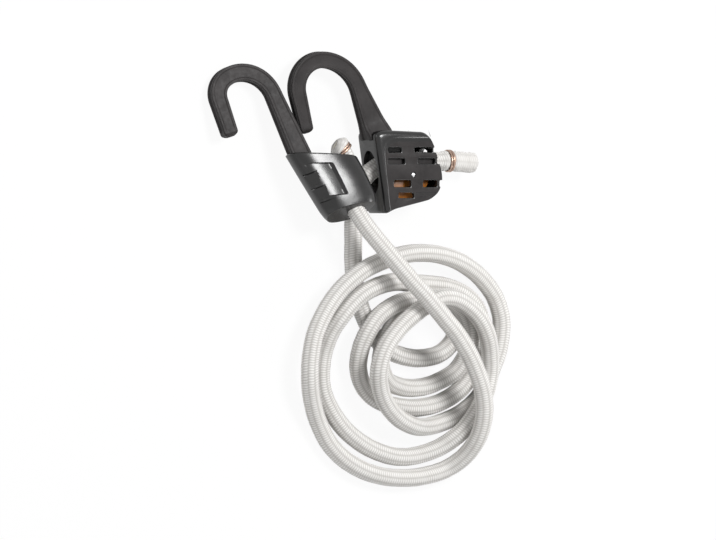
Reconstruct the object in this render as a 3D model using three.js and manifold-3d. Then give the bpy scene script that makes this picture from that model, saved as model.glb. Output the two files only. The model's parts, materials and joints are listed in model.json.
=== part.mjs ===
// A bungee cord: braided elastic cord laid in loose loops, with a moulded plastic hook at each end.
// The fixed hook holds the folded end of the cord in its collar. The adjuster hook rides on the cord: a
// sprung cam with teeth, in its housing, bites the cord, so the hook can be moved along it.
// Millimetres, +Z up, lying on the plane z = 0.
import * as THREE from "three";
import { mergeVertices } from "three/addons/utils/BufferGeometryUtils.js";
import Module from "manifold-3d";

const wasm = await Module();
wasm.setup();

// Driving dimensions
const CORD = { diameter: 8.5, sides: 10, step: 9 };
const COIL = { sides: 6, stepsPerLoop: 24, loops: 8, nearby: 24 };
const GAP = 0.3; // left between pieces that touch
const OVERRUN = 4; // how far a cutter reaches past what it cuts
const WELD = 0.0001; // points closer than this are one
const BEND_STEP = 9; // degrees turned at each step of a hook's bend
const CORNER_STEPS = 3; // of each rounded corner of an outline
const OVAL_STEPS = 10; // of each quarter of an oval opening
const AXIS_HEIGHT = 9.5; // of the cord where it runs through the adjuster

const HOUSING = {
  length: 37.2,
  above: 14.6, // from the cord's axis up to the top edge
  below: 25.6, // from the cord's axis down to the lower corner
  depth: 19,
  wall: 2.5,
  corner: 2.4,
  bevel: 1.2,
  bevelSteps: 2,
  recess: 0.8, // of the panel in the front, inside a rim
  rim: 3.2,
  panelCorner: 9,
  slotCorner: 0.8,
  wrap: 5, // how far a slot that runs off the edge goes down the side
  backRecess: 1.4, // of the same slots in the back, which don't go through
  mouthHeight: 20.4, // of the opening where the cord comes in
  mouthDepth: 13,
  mouthClearance: 0.6, // over the cord
  exitHeight: 11.6,
  exitDepth: 11.2,
};
const CAM = { hub: 1.95, reach: 11.5, lever: 13.5, tooth: 0.8, pitch: 1.7, teeth: 5, floor: 2.1, roof: 3.3 };
const PIN = { radius: 1, sides: 24 };
const SPRING = { wire: 0.5, radius: 1.9, turns: 2.25, leg: 5, stepsPerCurl: 8, sides: 5 };
const RING = { width: 2.8, thick: 0.85, open: 24, steps: 30 };
const COLLAR = {
  width: 30,
  length: 44.4,
  left: 12.6, // of the hook's origin
  below: 3.8, // the hook's origin
  thickness: 16,
  bevel: 3,
  bevelSteps: 3,
  corner: 2.6,
  cordRise: 0.5, // of the cord's axis over the middle of the thickness
  steps: 24, // along the cord inside
};
const PANEL = { depth: 0.8, corner: 1.2 };
const NOTCH = { width: 2, depth: 1.3 };
const FLARE = { radius: 6.2, depth: 2.4, sides: 28 };

// The arms are bars of a bevelled section. Each leaves its root straight, narrows along its shank, turns to
// the left in a bend and a tighter crook, and runs straight to its tip. Each size is at that stretch's end.
const ADJUSTER_ARM = {
  heading: 114,
  rootWidth: 12.4, rootThickness: 12,
  neckLength: 6.5, neckWidth: 11.5, neckThickness: 6.4,
  shankLength: 18.5, shankWidth: 7.3, shankThickness: 5.2,
  bendRadius: 22, bendTurn: 66, bendWidth: 7.9, bendThickness: 5,
  crookRadius: 13.3, crookTurn: 104.6, crookWidth: 7.8,
  tipLength: 16.6, tipWidth: 6.7,
  edge: 0.9, nose: 2.2,
};
const FIXED_ARM = {
  heading: 80,
  rootWidth: 11.5, rootThickness: 10,
  neckLength: 7, neckWidth: 9.6, neckThickness: 6.4,
  shankLength: 29.6, shankWidth: 7.4, shankThickness: 5.6,
  bendRadius: 16.7, bendTurn: 100, bendWidth: 8.6, bendThickness: 5.5,
  crookRadius: 9.6, crookTurn: 74, crookWidth: 8,
  tipLength: 16, tipWidth: 7.3,
  edge: 1, nose: 2.2,
};

// Where the pieces lie on the plane. The adjuster's place is where the cord's axis meets its left end, and
// the fixed hook's is its origin, in the mouth of its collar.
const ADJUSTER_PLACE = new THREE.Vector2(14.2, -9.9);
const FIXED_PLACE = { x: 0.5, y: -34.1, height: 20, heading: 31.8 };

// The housing's outline, from its lower left corner, as shares of its length and height.
const housingOutlineShares = [
  [0.156, 0], [0.293, 0.065], [0.82, 0.177], [0.92, 0.246], [0.957, 0.294], [1, 0.4], [0.985, 0.53],
  [0.94, 0.647], [0.87, 0.836], [0.82, 0.918], [0.73, 0.978], [0.13, 1], [0, 0.965],
];
// What is open to the thumb below, in the same shares.
const thumbOpeningShares = [[0.2, 0.2], [0.23, -0.1], [0.8, -0.1], [0.8, 0.3]];
// The slots in the front and back, left, right, low and high. A right share over 1 runs off the edge.
const slotShares = [
  [0.191, 0.39, 0.735, 0.797], [0.581, 1.1, 0.735, 0.797],
  [0.191, 0.441, 0.6, 0.667], [0.632, 1.1, 0.6, 0.667],
  [0.28, 0.53, 0.328, 0.41], [0.707, 1.1, 0.328, 0.41],
  [0.347, 0.573, 0.199, 0.264],
];
const pinShare = 0.567; // of the housing's length
const mouthReachShare = 0.33; // how far in the cut of the mouth reaches, of the housing's length
const exitReachShare = 0.5; // how far in the cut of the cord's exit reaches
const cornerShare = 0.45; // of an outline's edge, the most that one rounded corner takes
// The rounded nose of an arm: how far along it, and what is left of the section there.
const noseShares = [[0.5, 0.886], [0.85, 0.615], [1, 0.374]];
const armRootShares = [0.15, 0.936]; // of the housing's length and height
// The cam below its teeth, as an angle and a share of its reach: heel, then the thumb lever, then the toe.
const camBodyShares = [[-2, 1], [-25, 1], [-50, 1], [-75, 1], [-98, 1], [-153, 0.875]];
const camLeverAngles = [-104, -114, -125];

// The collar's outline, from the left of its mouth, as shares of its width and length.
const collarOutlineShares = [
  [0.267, 0.025], [0.673, 0], [0.76, 0], [0.86, 0.032], [0.917, 0.122], [0.967, 0.345], [0.997, 0.532],
  [0.903, 0.56], [0.647, 0.705], [0.313, 0.88], [0.027, 1], [0, 0.198], [0.033, 0.131], [0.137, 0.065],
];
const panelShares = [[0.105, 0.86], [0.507, 0.67], [0.407, 0.304], [0.177, 0.322]];
const notchShares = [0.694, 0.525, 0.356];
const collarArmShares = [0.167, 0.795]; // where the arm's root lies in the collar
const stubRingShare = 0.88; // how far along the cord in the collar its ring sits
const tailRingShare = 0.873; // how far along the tail, from its cut end

// The cord inside the collar, as shares of the collar's width and length, and its height over its middle.
const collarCordShares = [
  [0.483, -0.016], [0.483, 0.108], [0.52, 0.243], [0.613, 0.378], [0.747, 0.505], [0.827, 0.59],
  [0.85, 0.64], [0.843, 0.698], [0.81, 0.757], [0.791, 0.782],
];

// The cord from its cut end, back through the adjuster, to the loops.
const tailPoints = [[73.2, -10.9, 9.3], [67.4, -10.5, 9.4], [61.6, -10, 9.5], [57.4, -9.9, 9.5]];
const heldPoints = [
  [57.1, -9.9, 9.5], [52, -9.9, 9.5], [40, -9.9, 9.5], [32, -9.9, 9.5], [24.5, -11, 9.2], [19.5, -13.6, 8.3],
  [15.4, -17.2, 7.1], [14, -19.5, 6.35],
];
const runPoints = [
  [13.85, -19.75, 6.27], [12.5, -22, 5.55], [11.2, -27.4, 4.6], [10.6, -33.6, 4.4], [10.2, -39.8, 4.4],
  [10.2, -48.9, 4.4],
];
// The loops lie in four layers, each crossing going over or under as the cord was laid.
const coilStart = [10.2, -49.2, 4.4];
const coilPoints = [
  [10.2, -57.8, 4.4], [11.2, -69.2, 4.4], [14.4, -79.6, 4.4], [19.4, -89.6, 4.4],
  [26, -97.2, 4.4], [34.8, -101.8, 4.4], [47.4, -103.4, 4.4], [58.2, -100.8, 4.4], [65.2, -94, 4.4],
  [66, -85.6, 4.4], [61.6, -79.8, 4.4], [52.8, -78.2, 4.4], [43, -80, 5], [33.2, -84.4, 8.4],
  [24.6, -92, 13.1], [20.6, -100, 13.6], [21, -107.6, 12], [26.2, -113.8, 8.4], [35.8, -117, 5.2],
  [46.8, -117.2, 4.4], [57, -114.2, 5], [65, -109, 7.2], [68.6, -100.4, 11.2], [69.4, -91, 12.8],
  [66.2, -82, 13.2], [59.2, -76.4, 13.2], [49.2, -74.8, 13.2], [38.8, -75.4, 13.2], [28.4, -77.8, 13.2],
  [19.6, -83, 13.4], [13.6, -90, 13.4], [10.6, -98.6, 11], [11, -107.2, 7.6], [14.8, -115.2, 4.6],
  [21, -121.8, 4.4], [30.4, -125.6, 4.4], [41.2, -127, 4.4], [52.8, -125.8, 4.4], [63.2, -121.8, 4.4],
  [71.2, -115.6, 4.4], [76, -107, 4.4], [79.6, -96.6, 4.4], [80, -86.2, 4.4], [76.2, -78, 5],
  [69.2, -72.6, 5.2], [61, -69.6, 5.2], [51.4, -68.4, 5.6], [40.6, -67.8, 7.6], [30, -67.2, 10.4],
  [19.8, -68.8, 13.1], [12, -72, 13.4], [5.4, -76.8, 13.2], [-0.4, -83.4, 12], [-4.4, -91.4, 8.4],
  [-6.2, -100.4, 5], [-7.4, -110, 4.4], [-6.4, -119, 4.4], [-2.4, -127.4, 4.4], [4, -135.6, 4.4],
  [12.8, -142.6, 4.4], [23.8, -147.8, 4.4], [35.8, -150.2, 4.4], [47.8, -148.8, 4.4], [57.6, -145, 6.4],
  [65, -138.8, 10.8], [71.2, -130.4, 14], [76.4, -120.8, 14.4], [78.8, -110.4, 15], [77.4, -101, 17.6],
  [74.2, -92.8, 20.8], [69, -84.8, 22.8], [63, -79.2, 22.8], [56, -75.4, 22.6], [47.8, -74.8, 22.4],
  [39.8, -78.6, 22.2], [31.6, -83.8, 22.2], [23.4, -91, 22.2], [16.8, -100, 22.2], [15, -109.4, 20.4],
  [18.4, -119, 16.4], [24.4, -127, 13.8], [33, -133.2, 12], [44, -136, 9], [55.4, -134.6, 5.6],
  [67, -130.6, 4.4], [75.6, -125, 4.4], [82, -117.8, 4.4], [85.6, -109.4, 4.4], [89, -101.4, 4.4],
  [91, -92.8, 4.4], [91, -83.8, 4.4], [87.8, -74.8, 4.4], [80.8, -66.4, 5], [71.2, -59.8, 6.4],
  [59.6, -55.4, 8.4], [47, -53.6, 10.4], [35.2, -54, 12], [24.2, -56.4, 13], [13.6, -60.2, 13.4],
  [4.4, -65.8, 13.4], [-3.8, -73, 13.2], [-10.4, -81.6, 13.2], [-15.4, -91, 13.2], [-18, -101.4, 13.2],
  [-18.2, -112.4, 12.4], [-15, -123.2, 9], [-9.2, -134.6, 5.6], [-2, -145, 4.4], [8, -153, 4.4],
  [20.6, -158.2, 4.4], [34.8, -160.2, 4.4], [49, -159.2, 4.4], [61.2, -155.4, 6], [67.2, -149.2, 12.4],
  [69.8, -140.8, 19.6], [70.2, -131.2, 24.4], [68.6, -121.8, 27], [64.8, -112.4, 29], [58.6, -101.4, 30.4],
  [51, -91.4, 31.2], [43.2, -83, 31.2], [35, -74.4, 31.2], [27, -65.9, 29.4],
];
const coilEnd = [21.8, -59.5, 27.6];
const leadPoints = [[21.6, -59.3, 27.5], [16.4, -52.9, 25.7], [11.6, -46.9, 23.9]];

// Materials
const plastic = { color: 0x242426, roughness: 0.5, metalness: 0 };
const braid = { color: 0xd9d6d0, roughness: 0.75, metalness: 0 };
const amber = { color: 0x8a5213, roughness: 0.4, metalness: 0 };
const copper = { color: 0xa87f6c, roughness: 0.35, metalness: 1 };
const steel = { color: 0xc4c4c8, roughness: 0.25, metalness: 1 };

const place = ([x, y, z]) => new THREE.Vector3(x, y, z);
const turned = (degrees, length = 1) => {
  const angle = THREE.MathUtils.degToRad(degrees);
  return new THREE.Vector2(Math.cos(angle) * length, Math.sin(angle) * length);
};

// A closed geometry as a solid for joining and cutting.
function solid(geometry) {
  const bare = geometry.clone();
  bare.deleteAttribute("normal");
  bare.deleteAttribute("uv");
  const merged = mergeVertices(bare, WELD);
  return new wasm.Manifold(new wasm.Mesh({
    numProp: 3,
    vertProperties: new Float32Array(merged.attributes.position.array),
    triVerts: new Uint32Array(merged.index.array),
  }));
}

function namedMesh(name, shape, finish) {
  const { vertProperties, triVerts } = shape.getMesh();
  const geometry = new THREE.BufferGeometry();
  geometry.setAttribute("position", new THREE.BufferAttribute(vertProperties, 3));
  geometry.setIndex(new THREE.BufferAttribute(triVerts, 1));
  const faceted = geometry.toNonIndexed();
  faceted.computeVertexNormals();
  const mesh = new THREE.Mesh(faceted, new THREE.MeshStandardMaterial(finish));
  mesh.name = name;
  return mesh;
}

// A closed skin over rings of equally many points, the rings running on from one another.
function loft(rings, caps = fan(rings[0].length)) {
  const count = rings[0].length;
  const corners = rings.flat().flatMap((p) => [p.x, p.y, p.z]);
  const faces = [];
  for (let ring = 0; ring + 1 < rings.length; ring++)
    for (let k = 0; k < count; k++) {
      const a = ring * count + k;
      const b = ring * count + ((k + 1) % count);
      faces.push(a, b, b + count, a, b + count, a + count);
    }
  const last = (rings.length - 1) * count;
  for (const [a, b, c] of caps) {
    faces.push(a, c, b);
    faces.push(last + a, last + b, last + c);
  }
  const geometry = new THREE.BufferGeometry();
  geometry.setAttribute("position", new THREE.Float32BufferAttribute(corners, 3));
  geometry.setIndex(faces);
  return solid(geometry);
}

function fan(count) {
  return Array.from({ length: count - 2 }, (_, k) => [0, k + 1, k + 2]);
}

// The points with each corner rounded by a short curve.
function rounded(points, radius) {
  return points.flatMap((corner, k) => {
    const from = points.at(k - 1).clone().sub(corner);
    const to = points[(k + 1) % points.length].clone().sub(corner);
    const cut = Math.min(radius, cornerShare * from.length(), cornerShare * to.length());
    const start = corner.clone().add(from.setLength(cut));
    const end = corner.clone().add(to.setLength(cut));
    return new THREE.QuadraticBezierCurve(start, corner, end).getPoints(CORNER_STEPS);
  });
}

// The outline moved inwards by a distance. Its points run anticlockwise.
function inset(points, distance) {
  const edges = points.map((a, k) => {
    const along = points[(k + 1) % points.length].clone().sub(a).normalize();
    return { start: a.clone().add(new THREE.Vector2(-along.y, along.x).multiplyScalar(distance)), along };
  });
  return edges.map((edge, k) => {
    const before = edges.at(k - 1);
    const turn = before.along.cross(edge.along);
    const reach = edge.start.clone().sub(before.start).cross(edge.along) / turn;
    return before.start.clone().add(before.along.clone().multiplyScalar(reach));
  });
}

function prism(points, low, high) {
  const depth = high - low;
  const geometry = new THREE.ExtrudeGeometry(new THREE.Shape(points), { depth, bevelEnabled: false });
  geometry.translate(0, 0, low);
  return solid(geometry);
}

// A prism whose corners and rims are rounded.
function moulding(points, corner, low, high, bevel, segments) {
  const rings = [];
  const level = (step, end, upwards) => {
    const angle = (step / segments) * (Math.PI / 2);
    const height = end + upwards * bevel * (1 - Math.cos(angle));
    const outline = rounded(inset(points, bevel * (1 - Math.sin(angle))), corner);
    rings.push(outline.map((p) => new THREE.Vector3(p.x, p.y, height)));
  };
  for (let step = 0; step <= segments; step++) level(step, low, 1);
  for (let step = segments; step >= 0; step--) level(step, high, -1);
  const first = rings[0].map((p) => new THREE.Vector2(p.x, p.y));
  return loft(rings, THREE.ShapeUtils.triangulateShape(first, []));
}

// An oval prism along X, given by its middle and its size across Y and Z.
function ovalAlongX(from, to, y, z, sizeY, sizeZ) {
  const oval = new THREE.Shape();
  oval.absellipse(0, 0, sizeZ / 2, sizeY / 2, 0, 2 * Math.PI);
  const extrusion = { depth: to - from, curveSegments: OVAL_STEPS, bevelEnabled: false };
  const geometry = new THREE.ExtrudeGeometry(oval, extrusion);
  geometry.rotateY(Math.PI / 2);
  geometry.translate(from, y, z);
  return solid(geometry);
}

function rod(radius, low, high, sides) {
  const geometry = new THREE.CylinderGeometry(radius, radius, high - low, sides);
  geometry.rotateX(Math.PI / 2);
  geometry.translate(0, 0, (low + high) / 2);
  return solid(geometry);
}

// A tube through the points in turn, each ring square to the way between its neighbours.
function tubeThrough(points, radius, sides) {
  const ahead = points.map((p, k) => {
    const from = points[Math.max(k - 1, 0)];
    const to = points[Math.min(k + 1, points.length - 1)];
    return to.clone().sub(from).normalize();
  });
  const across = new THREE.Vector3(ahead[0].y, -ahead[0].x, 0).normalize();
  const rings = points.map((p, k) => {
    across.addScaledVector(ahead[k], -across.dot(ahead[k])).normalize();
    const other = ahead[k].clone().cross(across);
    return Array.from({ length: sides }, (_, side) => {
      const angle = ((side + 0.5) / sides) * 2 * Math.PI;
      return p.clone()
        .addScaledVector(across, Math.cos(angle) * radius)
        .addScaledVector(other, Math.sin(angle) * radius);
    });
  });
  return loft(rings);
}

const smooth = (points) => new THREE.CatmullRomCurve3(points, false, "centripetal");

// A free stretch of cord swept along a smooth curve through its points.
function cordStretch(points) {
  const curve = smooth(points);
  const corner = (k) => turned((k / CORD.sides) * 360, CORD.diameter / 2);
  const section = new THREE.Shape(Array.from({ length: CORD.sides }, (_, k) => corner(k)));
  const geometry = new THREE.ExtrudeGeometry(section, {
    steps: Math.max(2, Math.ceil(curve.getLength() / CORD.step)),
    extrudePath: curve,
    bevelEnabled: false,
  });
  return solid(geometry);
}

// An arm's stretches in turn, each straight or turning to the left, with its width and thickness at its end.
function stretchesOf(sizes) {
  const thickness = sizes.bendThickness;
  return [
    { straight: sizes.neckLength, width: sizes.neckWidth, thickness: sizes.neckThickness },
    { straight: sizes.shankLength, width: sizes.shankWidth, thickness: sizes.shankThickness },
    { radius: sizes.bendRadius, turn: sizes.bendTurn, width: sizes.bendWidth, thickness },
    { radius: sizes.crookRadius, turn: sizes.crookTurn, width: sizes.crookWidth, thickness },
    { straight: sizes.tipLength, width: sizes.tipWidth, thickness },
  ];
}

// The arm as a bar whose section is a bevelled rectangle lying in the plane of the hook.
function arm(root, sizes, middle) {
  const rings = [];
  const at = root.clone();
  let heading = sizes.heading;
  const section = (wide, thick) => {
    const side = turned(heading - 90);
    const half = wide / 2;
    const high = thick / 2;
    const bevel = Math.min(sizes.edge, half / 2, high / 2);
    const corners = [
      [half - bevel, -high], [half, bevel - high], [half, high - bevel], [half - bevel, high],
      [bevel - half, high], [-half, high - bevel], [-half, bevel - high], [bevel - half, -high],
    ];
    rings.push(corners.map(([x, z]) => new THREE.Vector3(at.x - side.x * x, at.y - side.y * x, middle + z)));
  };
  section(sizes.rootWidth, sizes.rootThickness);
  let before = { width: sizes.rootWidth, thickness: sizes.rootThickness };
  for (const stretch of stretchesOf(sizes)) {
    const steps = stretch.turn ? Math.ceil(stretch.turn / BEND_STEP) : 1;
    const turn = (stretch.turn ?? 0) / steps;
    const chord = stretch.turn
      ? 2 * stretch.radius * Math.sin(THREE.MathUtils.degToRad(turn / 2))
      : stretch.straight;
    for (let step = 1; step <= steps; step++) {
      at.add(turned(heading + turn / 2, chord));
      heading += turn;
      section(
        THREE.MathUtils.lerp(before.width, stretch.width, step / steps),
        THREE.MathUtils.lerp(before.thickness, stretch.thickness, step / steps),
      );
    }
    before = stretch;
  }
  let gone = 0;
  for (const [share, leftShare] of noseShares) {
    at.add(turned(heading, (share - gone) * sizes.nose));
    gone = share;
    section(before.width * leftShare, before.thickness * leftShare);
  }
  return loft(rings);
}

const cordRadius = CORD.diameter / 2;
const ringRadius = cordRadius + GAP + RING.thick;
const boreRadius = (cordRadius + GAP) / Math.cos(Math.PI / CORD.sides);

// The adjuster, in its own frame: the cord's axis lies along X at y = 0, and x = 0 is the left end.
const housingHeight = HOUSING.above + HOUSING.below;
const inHousing = ([along, up]) =>
  new THREE.Vector2(along * HOUSING.length, up * housingHeight - HOUSING.below);
const pinPlace = new THREE.Vector2(pinShare * HOUSING.length, -(cordRadius + GAP + CAM.hub));
const camLow = HOUSING.wall + CAM.floor;
const camHigh = HOUSING.depth - HOUSING.wall - CAM.roof;
const panelHeight = HOUSING.depth - HOUSING.recess;

function housingShell() {
  const outline = housingOutlineShares.map(inHousing);
  const inner = inset(outline, HOUSING.wall);
  const inside = [HOUSING.wall, HOUSING.depth - HOUSING.wall];
  const right = HOUSING.length + OVERRUN;
  const panelTop = HOUSING.above - HOUSING.rim;
  const panel = inset(outline, HOUSING.rim);
  const panelOutline = [
    new THREE.Vector2(panel[0].x, -HOUSING.below - OVERRUN),
    new THREE.Vector2(right, -HOUSING.below - OVERRUN),
    new THREE.Vector2(right, panelTop),
    new THREE.Vector2(panel.at(-1).x, panelTop),
  ];
  const root = inHousing(armRootShares);
  let shell = moulding(outline, HOUSING.corner, 0, HOUSING.depth, HOUSING.bevel, HOUSING.bevelSteps)
    .add(arm(root, ADJUSTER_ARM, AXIS_HEIGHT))
    .subtract(prism(rounded(inner, HOUSING.corner), ...inside))
    .subtract(prism(rounded(thumbOpeningShares.map(inHousing), HOUSING.slotCorner), ...inside))
    .subtract(prism(rounded(panelOutline, HOUSING.panelCorner), panelHeight, HOUSING.depth + OVERRUN));
  for (const [left, rightShare, low, high] of slotShares) {
    const corners = [[left, low], [rightShare, low], [rightShare, high], [left, high]].map(inHousing);
    const slot = rounded(corners, HOUSING.slotCorner);
    const down = rightShare > 1 ? HOUSING.depth - HOUSING.wrap : HOUSING.depth / 2;
    shell = shell
      .subtract(prism(slot, down, HOUSING.depth + OVERRUN))
      .subtract(prism(slot, -OVERRUN, HOUSING.backRecess));
  }
  const { mouthHeight, mouthDepth, exitHeight, exitDepth } = HOUSING;
  const mouthMiddle = cordRadius + HOUSING.mouthClearance - mouthHeight / 2;
  const mouthReach = mouthReachShare * HOUSING.length;
  const exitReach = exitReachShare * HOUSING.length;
  const pinHole = rod(PIN.radius + GAP, -OVERRUN, HOUSING.depth + OVERRUN, PIN.sides);
  return shell
    .subtract(ovalAlongX(-OVERRUN, mouthReach, mouthMiddle, AXIS_HEIGHT, mouthHeight, mouthDepth))
    .subtract(ovalAlongX(exitReach, right, 0, AXIS_HEIGHT, exitHeight, exitDepth))
    .subtract(pinHole.translate([...pinPlace, 0]));
}

// The cam about its pin: teeth under the cord on the right, and a lever for the thumb below.
function cam() {
  const outline = [new THREE.Vector2(-CAM.hub / 2, CAM.hub)];
  const firstTooth = CAM.hub;
  for (let tooth = 0; tooth < CAM.teeth; tooth++) {
    const left = firstTooth + tooth * CAM.pitch;
    outline.push(new THREE.Vector2(left, CAM.hub), new THREE.Vector2(left, CAM.hub - CAM.tooth));
  }
  outline.push(new THREE.Vector2(firstTooth + CAM.teeth * CAM.pitch, CAM.hub));
  const toe = camBodyShares.at(-1);
  camBodyShares.slice(0, -1).forEach(([angle, share]) => outline.push(turned(angle, share * CAM.reach)));
  camLeverAngles.forEach((angle) => outline.push(turned(angle, CAM.lever)));
  outline.push(turned(toe[0], toe[1] * CAM.reach));
  outline.push(new THREE.Vector2(-CAM.hub, CAM.hub / 3));
  return prism(outline, camLow, camHigh)
    .subtract(rod(PIN.radius + GAP, 0, HOUSING.depth, PIN.sides));
}

// A torsion spring round the pin, between the cam and the housing's front, with two straight legs.
function camSpring() {
  const low = camHigh + GAP + SPRING.wire / 2;
  const high = HOUSING.depth - HOUSING.wall - GAP - SPRING.wire / 2;
  const steps = SPRING.turns * SPRING.stepsPerCurl;
  const points = [];
  for (let step = 0; step <= steps; step++) {
    const around = turned((step / SPRING.stepsPerCurl) * 360, SPRING.radius);
    points.push(new THREE.Vector3(around.x, around.y, THREE.MathUtils.lerp(low, high, step / steps)));
  }
  const leg = (end, next) => end.clone().sub(next).setZ(0).setLength(SPRING.leg).add(end);
  const whole = [leg(points[0], points[1]), ...points, leg(points.at(-1), points.at(-2))];
  return tubeThrough(whole, SPRING.wire / 2, SPRING.sides);
}

// A hog ring: a strip bent round the cord until its ends nearly meet.
function hogRing() {
  const inner = (cordRadius + GAP) / Math.cos(Math.PI / RING.steps);
  const turnAt = (step) => RING.open / 2 + (step / RING.steps) * (360 - RING.open);
  const strip = [];
  for (let step = 0; step <= RING.steps; step++) strip.push(turned(turnAt(step), ringRadius));
  for (let step = RING.steps; step >= 0; step--) strip.push(turned(turnAt(step), inner));
  return prism(strip, -RING.width / 2, RING.width / 2);
}

// The fixed hook, in its own frame: the origin is in the mouth, and the hook runs along Y.
const inCollar = ([across, along]) =>
  new THREE.Vector2(across * COLLAR.width - COLLAR.left, along * COLLAR.length - COLLAR.below);
const collarCurve = smooth(
  collarCordShares.map(inCollar).map(({ x, y }) => new THREE.Vector3(x, y, COLLAR.cordRise)),
);
const collarCord = collarCurve.getSpacedPoints(COLLAR.steps);

// The seat in the collar's top for the ring on the folded end, open along the way that the cord runs on.
function ringSeat() {
  const place = collarCurve.getPointAt(stubRingShare);
  const way = collarCurve.getTangentAt(stubRingShare);
  const floor = place.clone().addScaledVector(way, -(RING.width / 2 + GAP));
  const opening = place.clone().addScaledVector(way, COLLAR.thickness);
  return tubeThrough([floor, opening], (ringRadius + GAP) / Math.cos(Math.PI / FLARE.sides), FLARE.sides);
}

function collar() {
  const half = COLLAR.thickness / 2;
  const outline = collarOutlineShares.map(inCollar);
  const first = collarCord[0];
  const onwards = (end, next) => end.clone().sub(next).setLength(OVERRUN).add(end);
  const last = collarCord.at(-1);
  const bore = [onwards(first, collarCord[1]), ...collarCord, onwards(last, collarCord.at(-2))];
  const flare = new THREE.CylinderGeometry(boreRadius, FLARE.radius, FLARE.depth, FLARE.sides);
  flare.translate(first.x, FLARE.depth / 2 - COLLAR.below, COLLAR.cordRise);
  let shape = moulding(outline, COLLAR.corner, -half, half, COLLAR.bevel, COLLAR.bevelSteps)
    .add(arm(inCollar(collarArmShares), FIXED_ARM, 0))
    .subtract(tubeThrough(bore, boreRadius, CORD.sides))
    .subtract(solid(flare))
    .subtract(ringSeat())
    .subtract(prism(rounded(panelShares.map(inCollar), PANEL.corner), half - PANEL.depth, half + OVERRUN));
  for (const share of notchShares) {
    const side = inCollar([0, share]);
    const notch = [
      new THREE.Vector2(side.x - OVERRUN, side.y - NOTCH.width),
      new THREE.Vector2(side.x + NOTCH.depth, side.y),
      new THREE.Vector2(side.x - OVERRUN, side.y + NOTCH.width),
    ];
    shape = shape.subtract(prism(notch, -half - OVERRUN, half + OVERRUN));
  }
  return shape;
}

// The coil is one tube: straight for one diameter at each end, and smooth between.
function coilPath() {
  const loops = smooth(coilPoints.map(place));
  const path = new THREE.CurvePath();
  path.add(new THREE.LineCurve3(place(coilStart), place(coilPoints[0])));
  path.add(loops);
  path.add(new THREE.LineCurve3(place(coilPoints.at(-1)), place(coilEnd)));
  return path.getSpacedPoints(COIL.stepsPerLoop * COIL.loops);
}

// The smallest gap between two stretches of the tube that aren't next to each other.
function leastGap(points, diameter, nearby) {
  const along = [0];
  points.slice(1).forEach((p, k) => along.push(along[k] + p.distanceTo(points[k])));
  let least = Infinity;
  points.forEach((a, i) => points.slice(i + 1).forEach((b, j) => {
    if (along[i + 1 + j] - along[i] > nearby) least = Math.min(least, a.distanceTo(b));
  }));
  return least - diameter;
}

// A hog ring closed round the cord, a share of the way along its curve.
function ringOn(name, curve, share) {
  const ring = namedMesh(name, hogRing(), copper);
  ring.position.copy(curve.getPointAt(share));
  ring.quaternion.setFromUnitVectors(new THREE.Vector3(0, 0, 1), curve.getTangentAt(share));
  return ring;
}

const adjuster = new THREE.Group();
adjuster.position.set(...ADJUSTER_PLACE, 0);
const onPin = new THREE.Group();
onPin.position.set(...pinPlace, 0);
onPin.add(
  namedMesh("adjuster_cam", cam(), amber),
  namedMesh("cam_pin", rod(PIN.radius, GAP, panelHeight, PIN.sides), steel),
  namedMesh("cam_spring", camSpring(), steel),
);
adjuster.add(namedMesh("adjuster_hook", housingShell(), plastic), onPin);

// The fixed hook is pitched so that its bend rests on the plane while the cord holds its mouth up.
const fixedHook = new THREE.Group();
const collarMesh = namedMesh("fixed_hook", collar(), plastic);
collarMesh.geometry.computeBoundingBox();
const reach = collarMesh.geometry.boundingBox.max.y - FIXED_ARM.edge;
const under = FIXED_ARM.bendThickness / 2;
const pitch = Math.asin(FIXED_PLACE.height / Math.hypot(reach, under)) - Math.atan2(under, reach);
fixedHook.position.set(FIXED_PLACE.x, FIXED_PLACE.y, FIXED_PLACE.height);
fixedHook.rotation.set(-pitch, 0, THREE.MathUtils.degToRad(FIXED_PLACE.heading), "ZXY");
fixedHook.add(
  collarMesh,
  namedMesh("cord_fixed_end", tubeThrough(collarCord, cordRadius, CORD.sides), braid),
  ringOn("fixed_end_ring", collarCurve, stubRingShare),
);
fixedHook.updateMatrixWorld(true);

// The lead runs from the loops to the collar's mouth, and goes in straight.
const inPlace = (point) => point.clone().applyMatrix4(fixedHook.matrixWorld);
const mouthEnd = inPlace(collarCord[0]);
const mouthNext = inPlace(collarCord[1]);
const outwards = mouthEnd.clone().sub(mouthNext).normalize();
const outOf = (distance) => mouthEnd.clone().addScaledVector(outwards, distance);
const lead = [...leadPoints.map(place), outOf(cordRadius), outOf(GAP)];

const coil = coilPath();
console.log("least gap of the coil to itself", leastGap(coil, CORD.diameter, COIL.nearby).toFixed(2), "mm");
const cord = new THREE.Group();
cord.add(
  namedMesh("cord_coil", tubeThrough(coil, cordRadius, COIL.sides), braid),
  namedMesh("cord_lead", cordStretch(lead), braid),
  namedMesh("cord_run", cordStretch(runPoints.map(place)), braid),
  namedMesh("cord_in_adjuster", cordStretch(heldPoints.map(place)), braid),
  namedMesh("cord_tail", cordStretch(tailPoints.map(place)), braid),
  ringOn("tail_ring", smooth(tailPoints.map(place)), tailRingShare),
);

// The origin is under the middle of the two hooks.
const hooks = new THREE.Box3().setFromObject(adjuster, true);
hooks.union(new THREE.Box3().setFromObject(fixedHook, true));
const middle = hooks.getCenter(new THREE.Vector3());
const bungeeCord = new THREE.Group();
bungeeCord.add(cord, adjuster, fixedHook);
bungeeCord.position.set(-middle.x, -middle.y, -hooks.min.z);
export default bungeeCord;
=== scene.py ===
import json
import math

import bpy
import numpy as np
from mathutils import Matrix, Vector, noise
from mathutils.bvhtree import BVHTree


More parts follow.
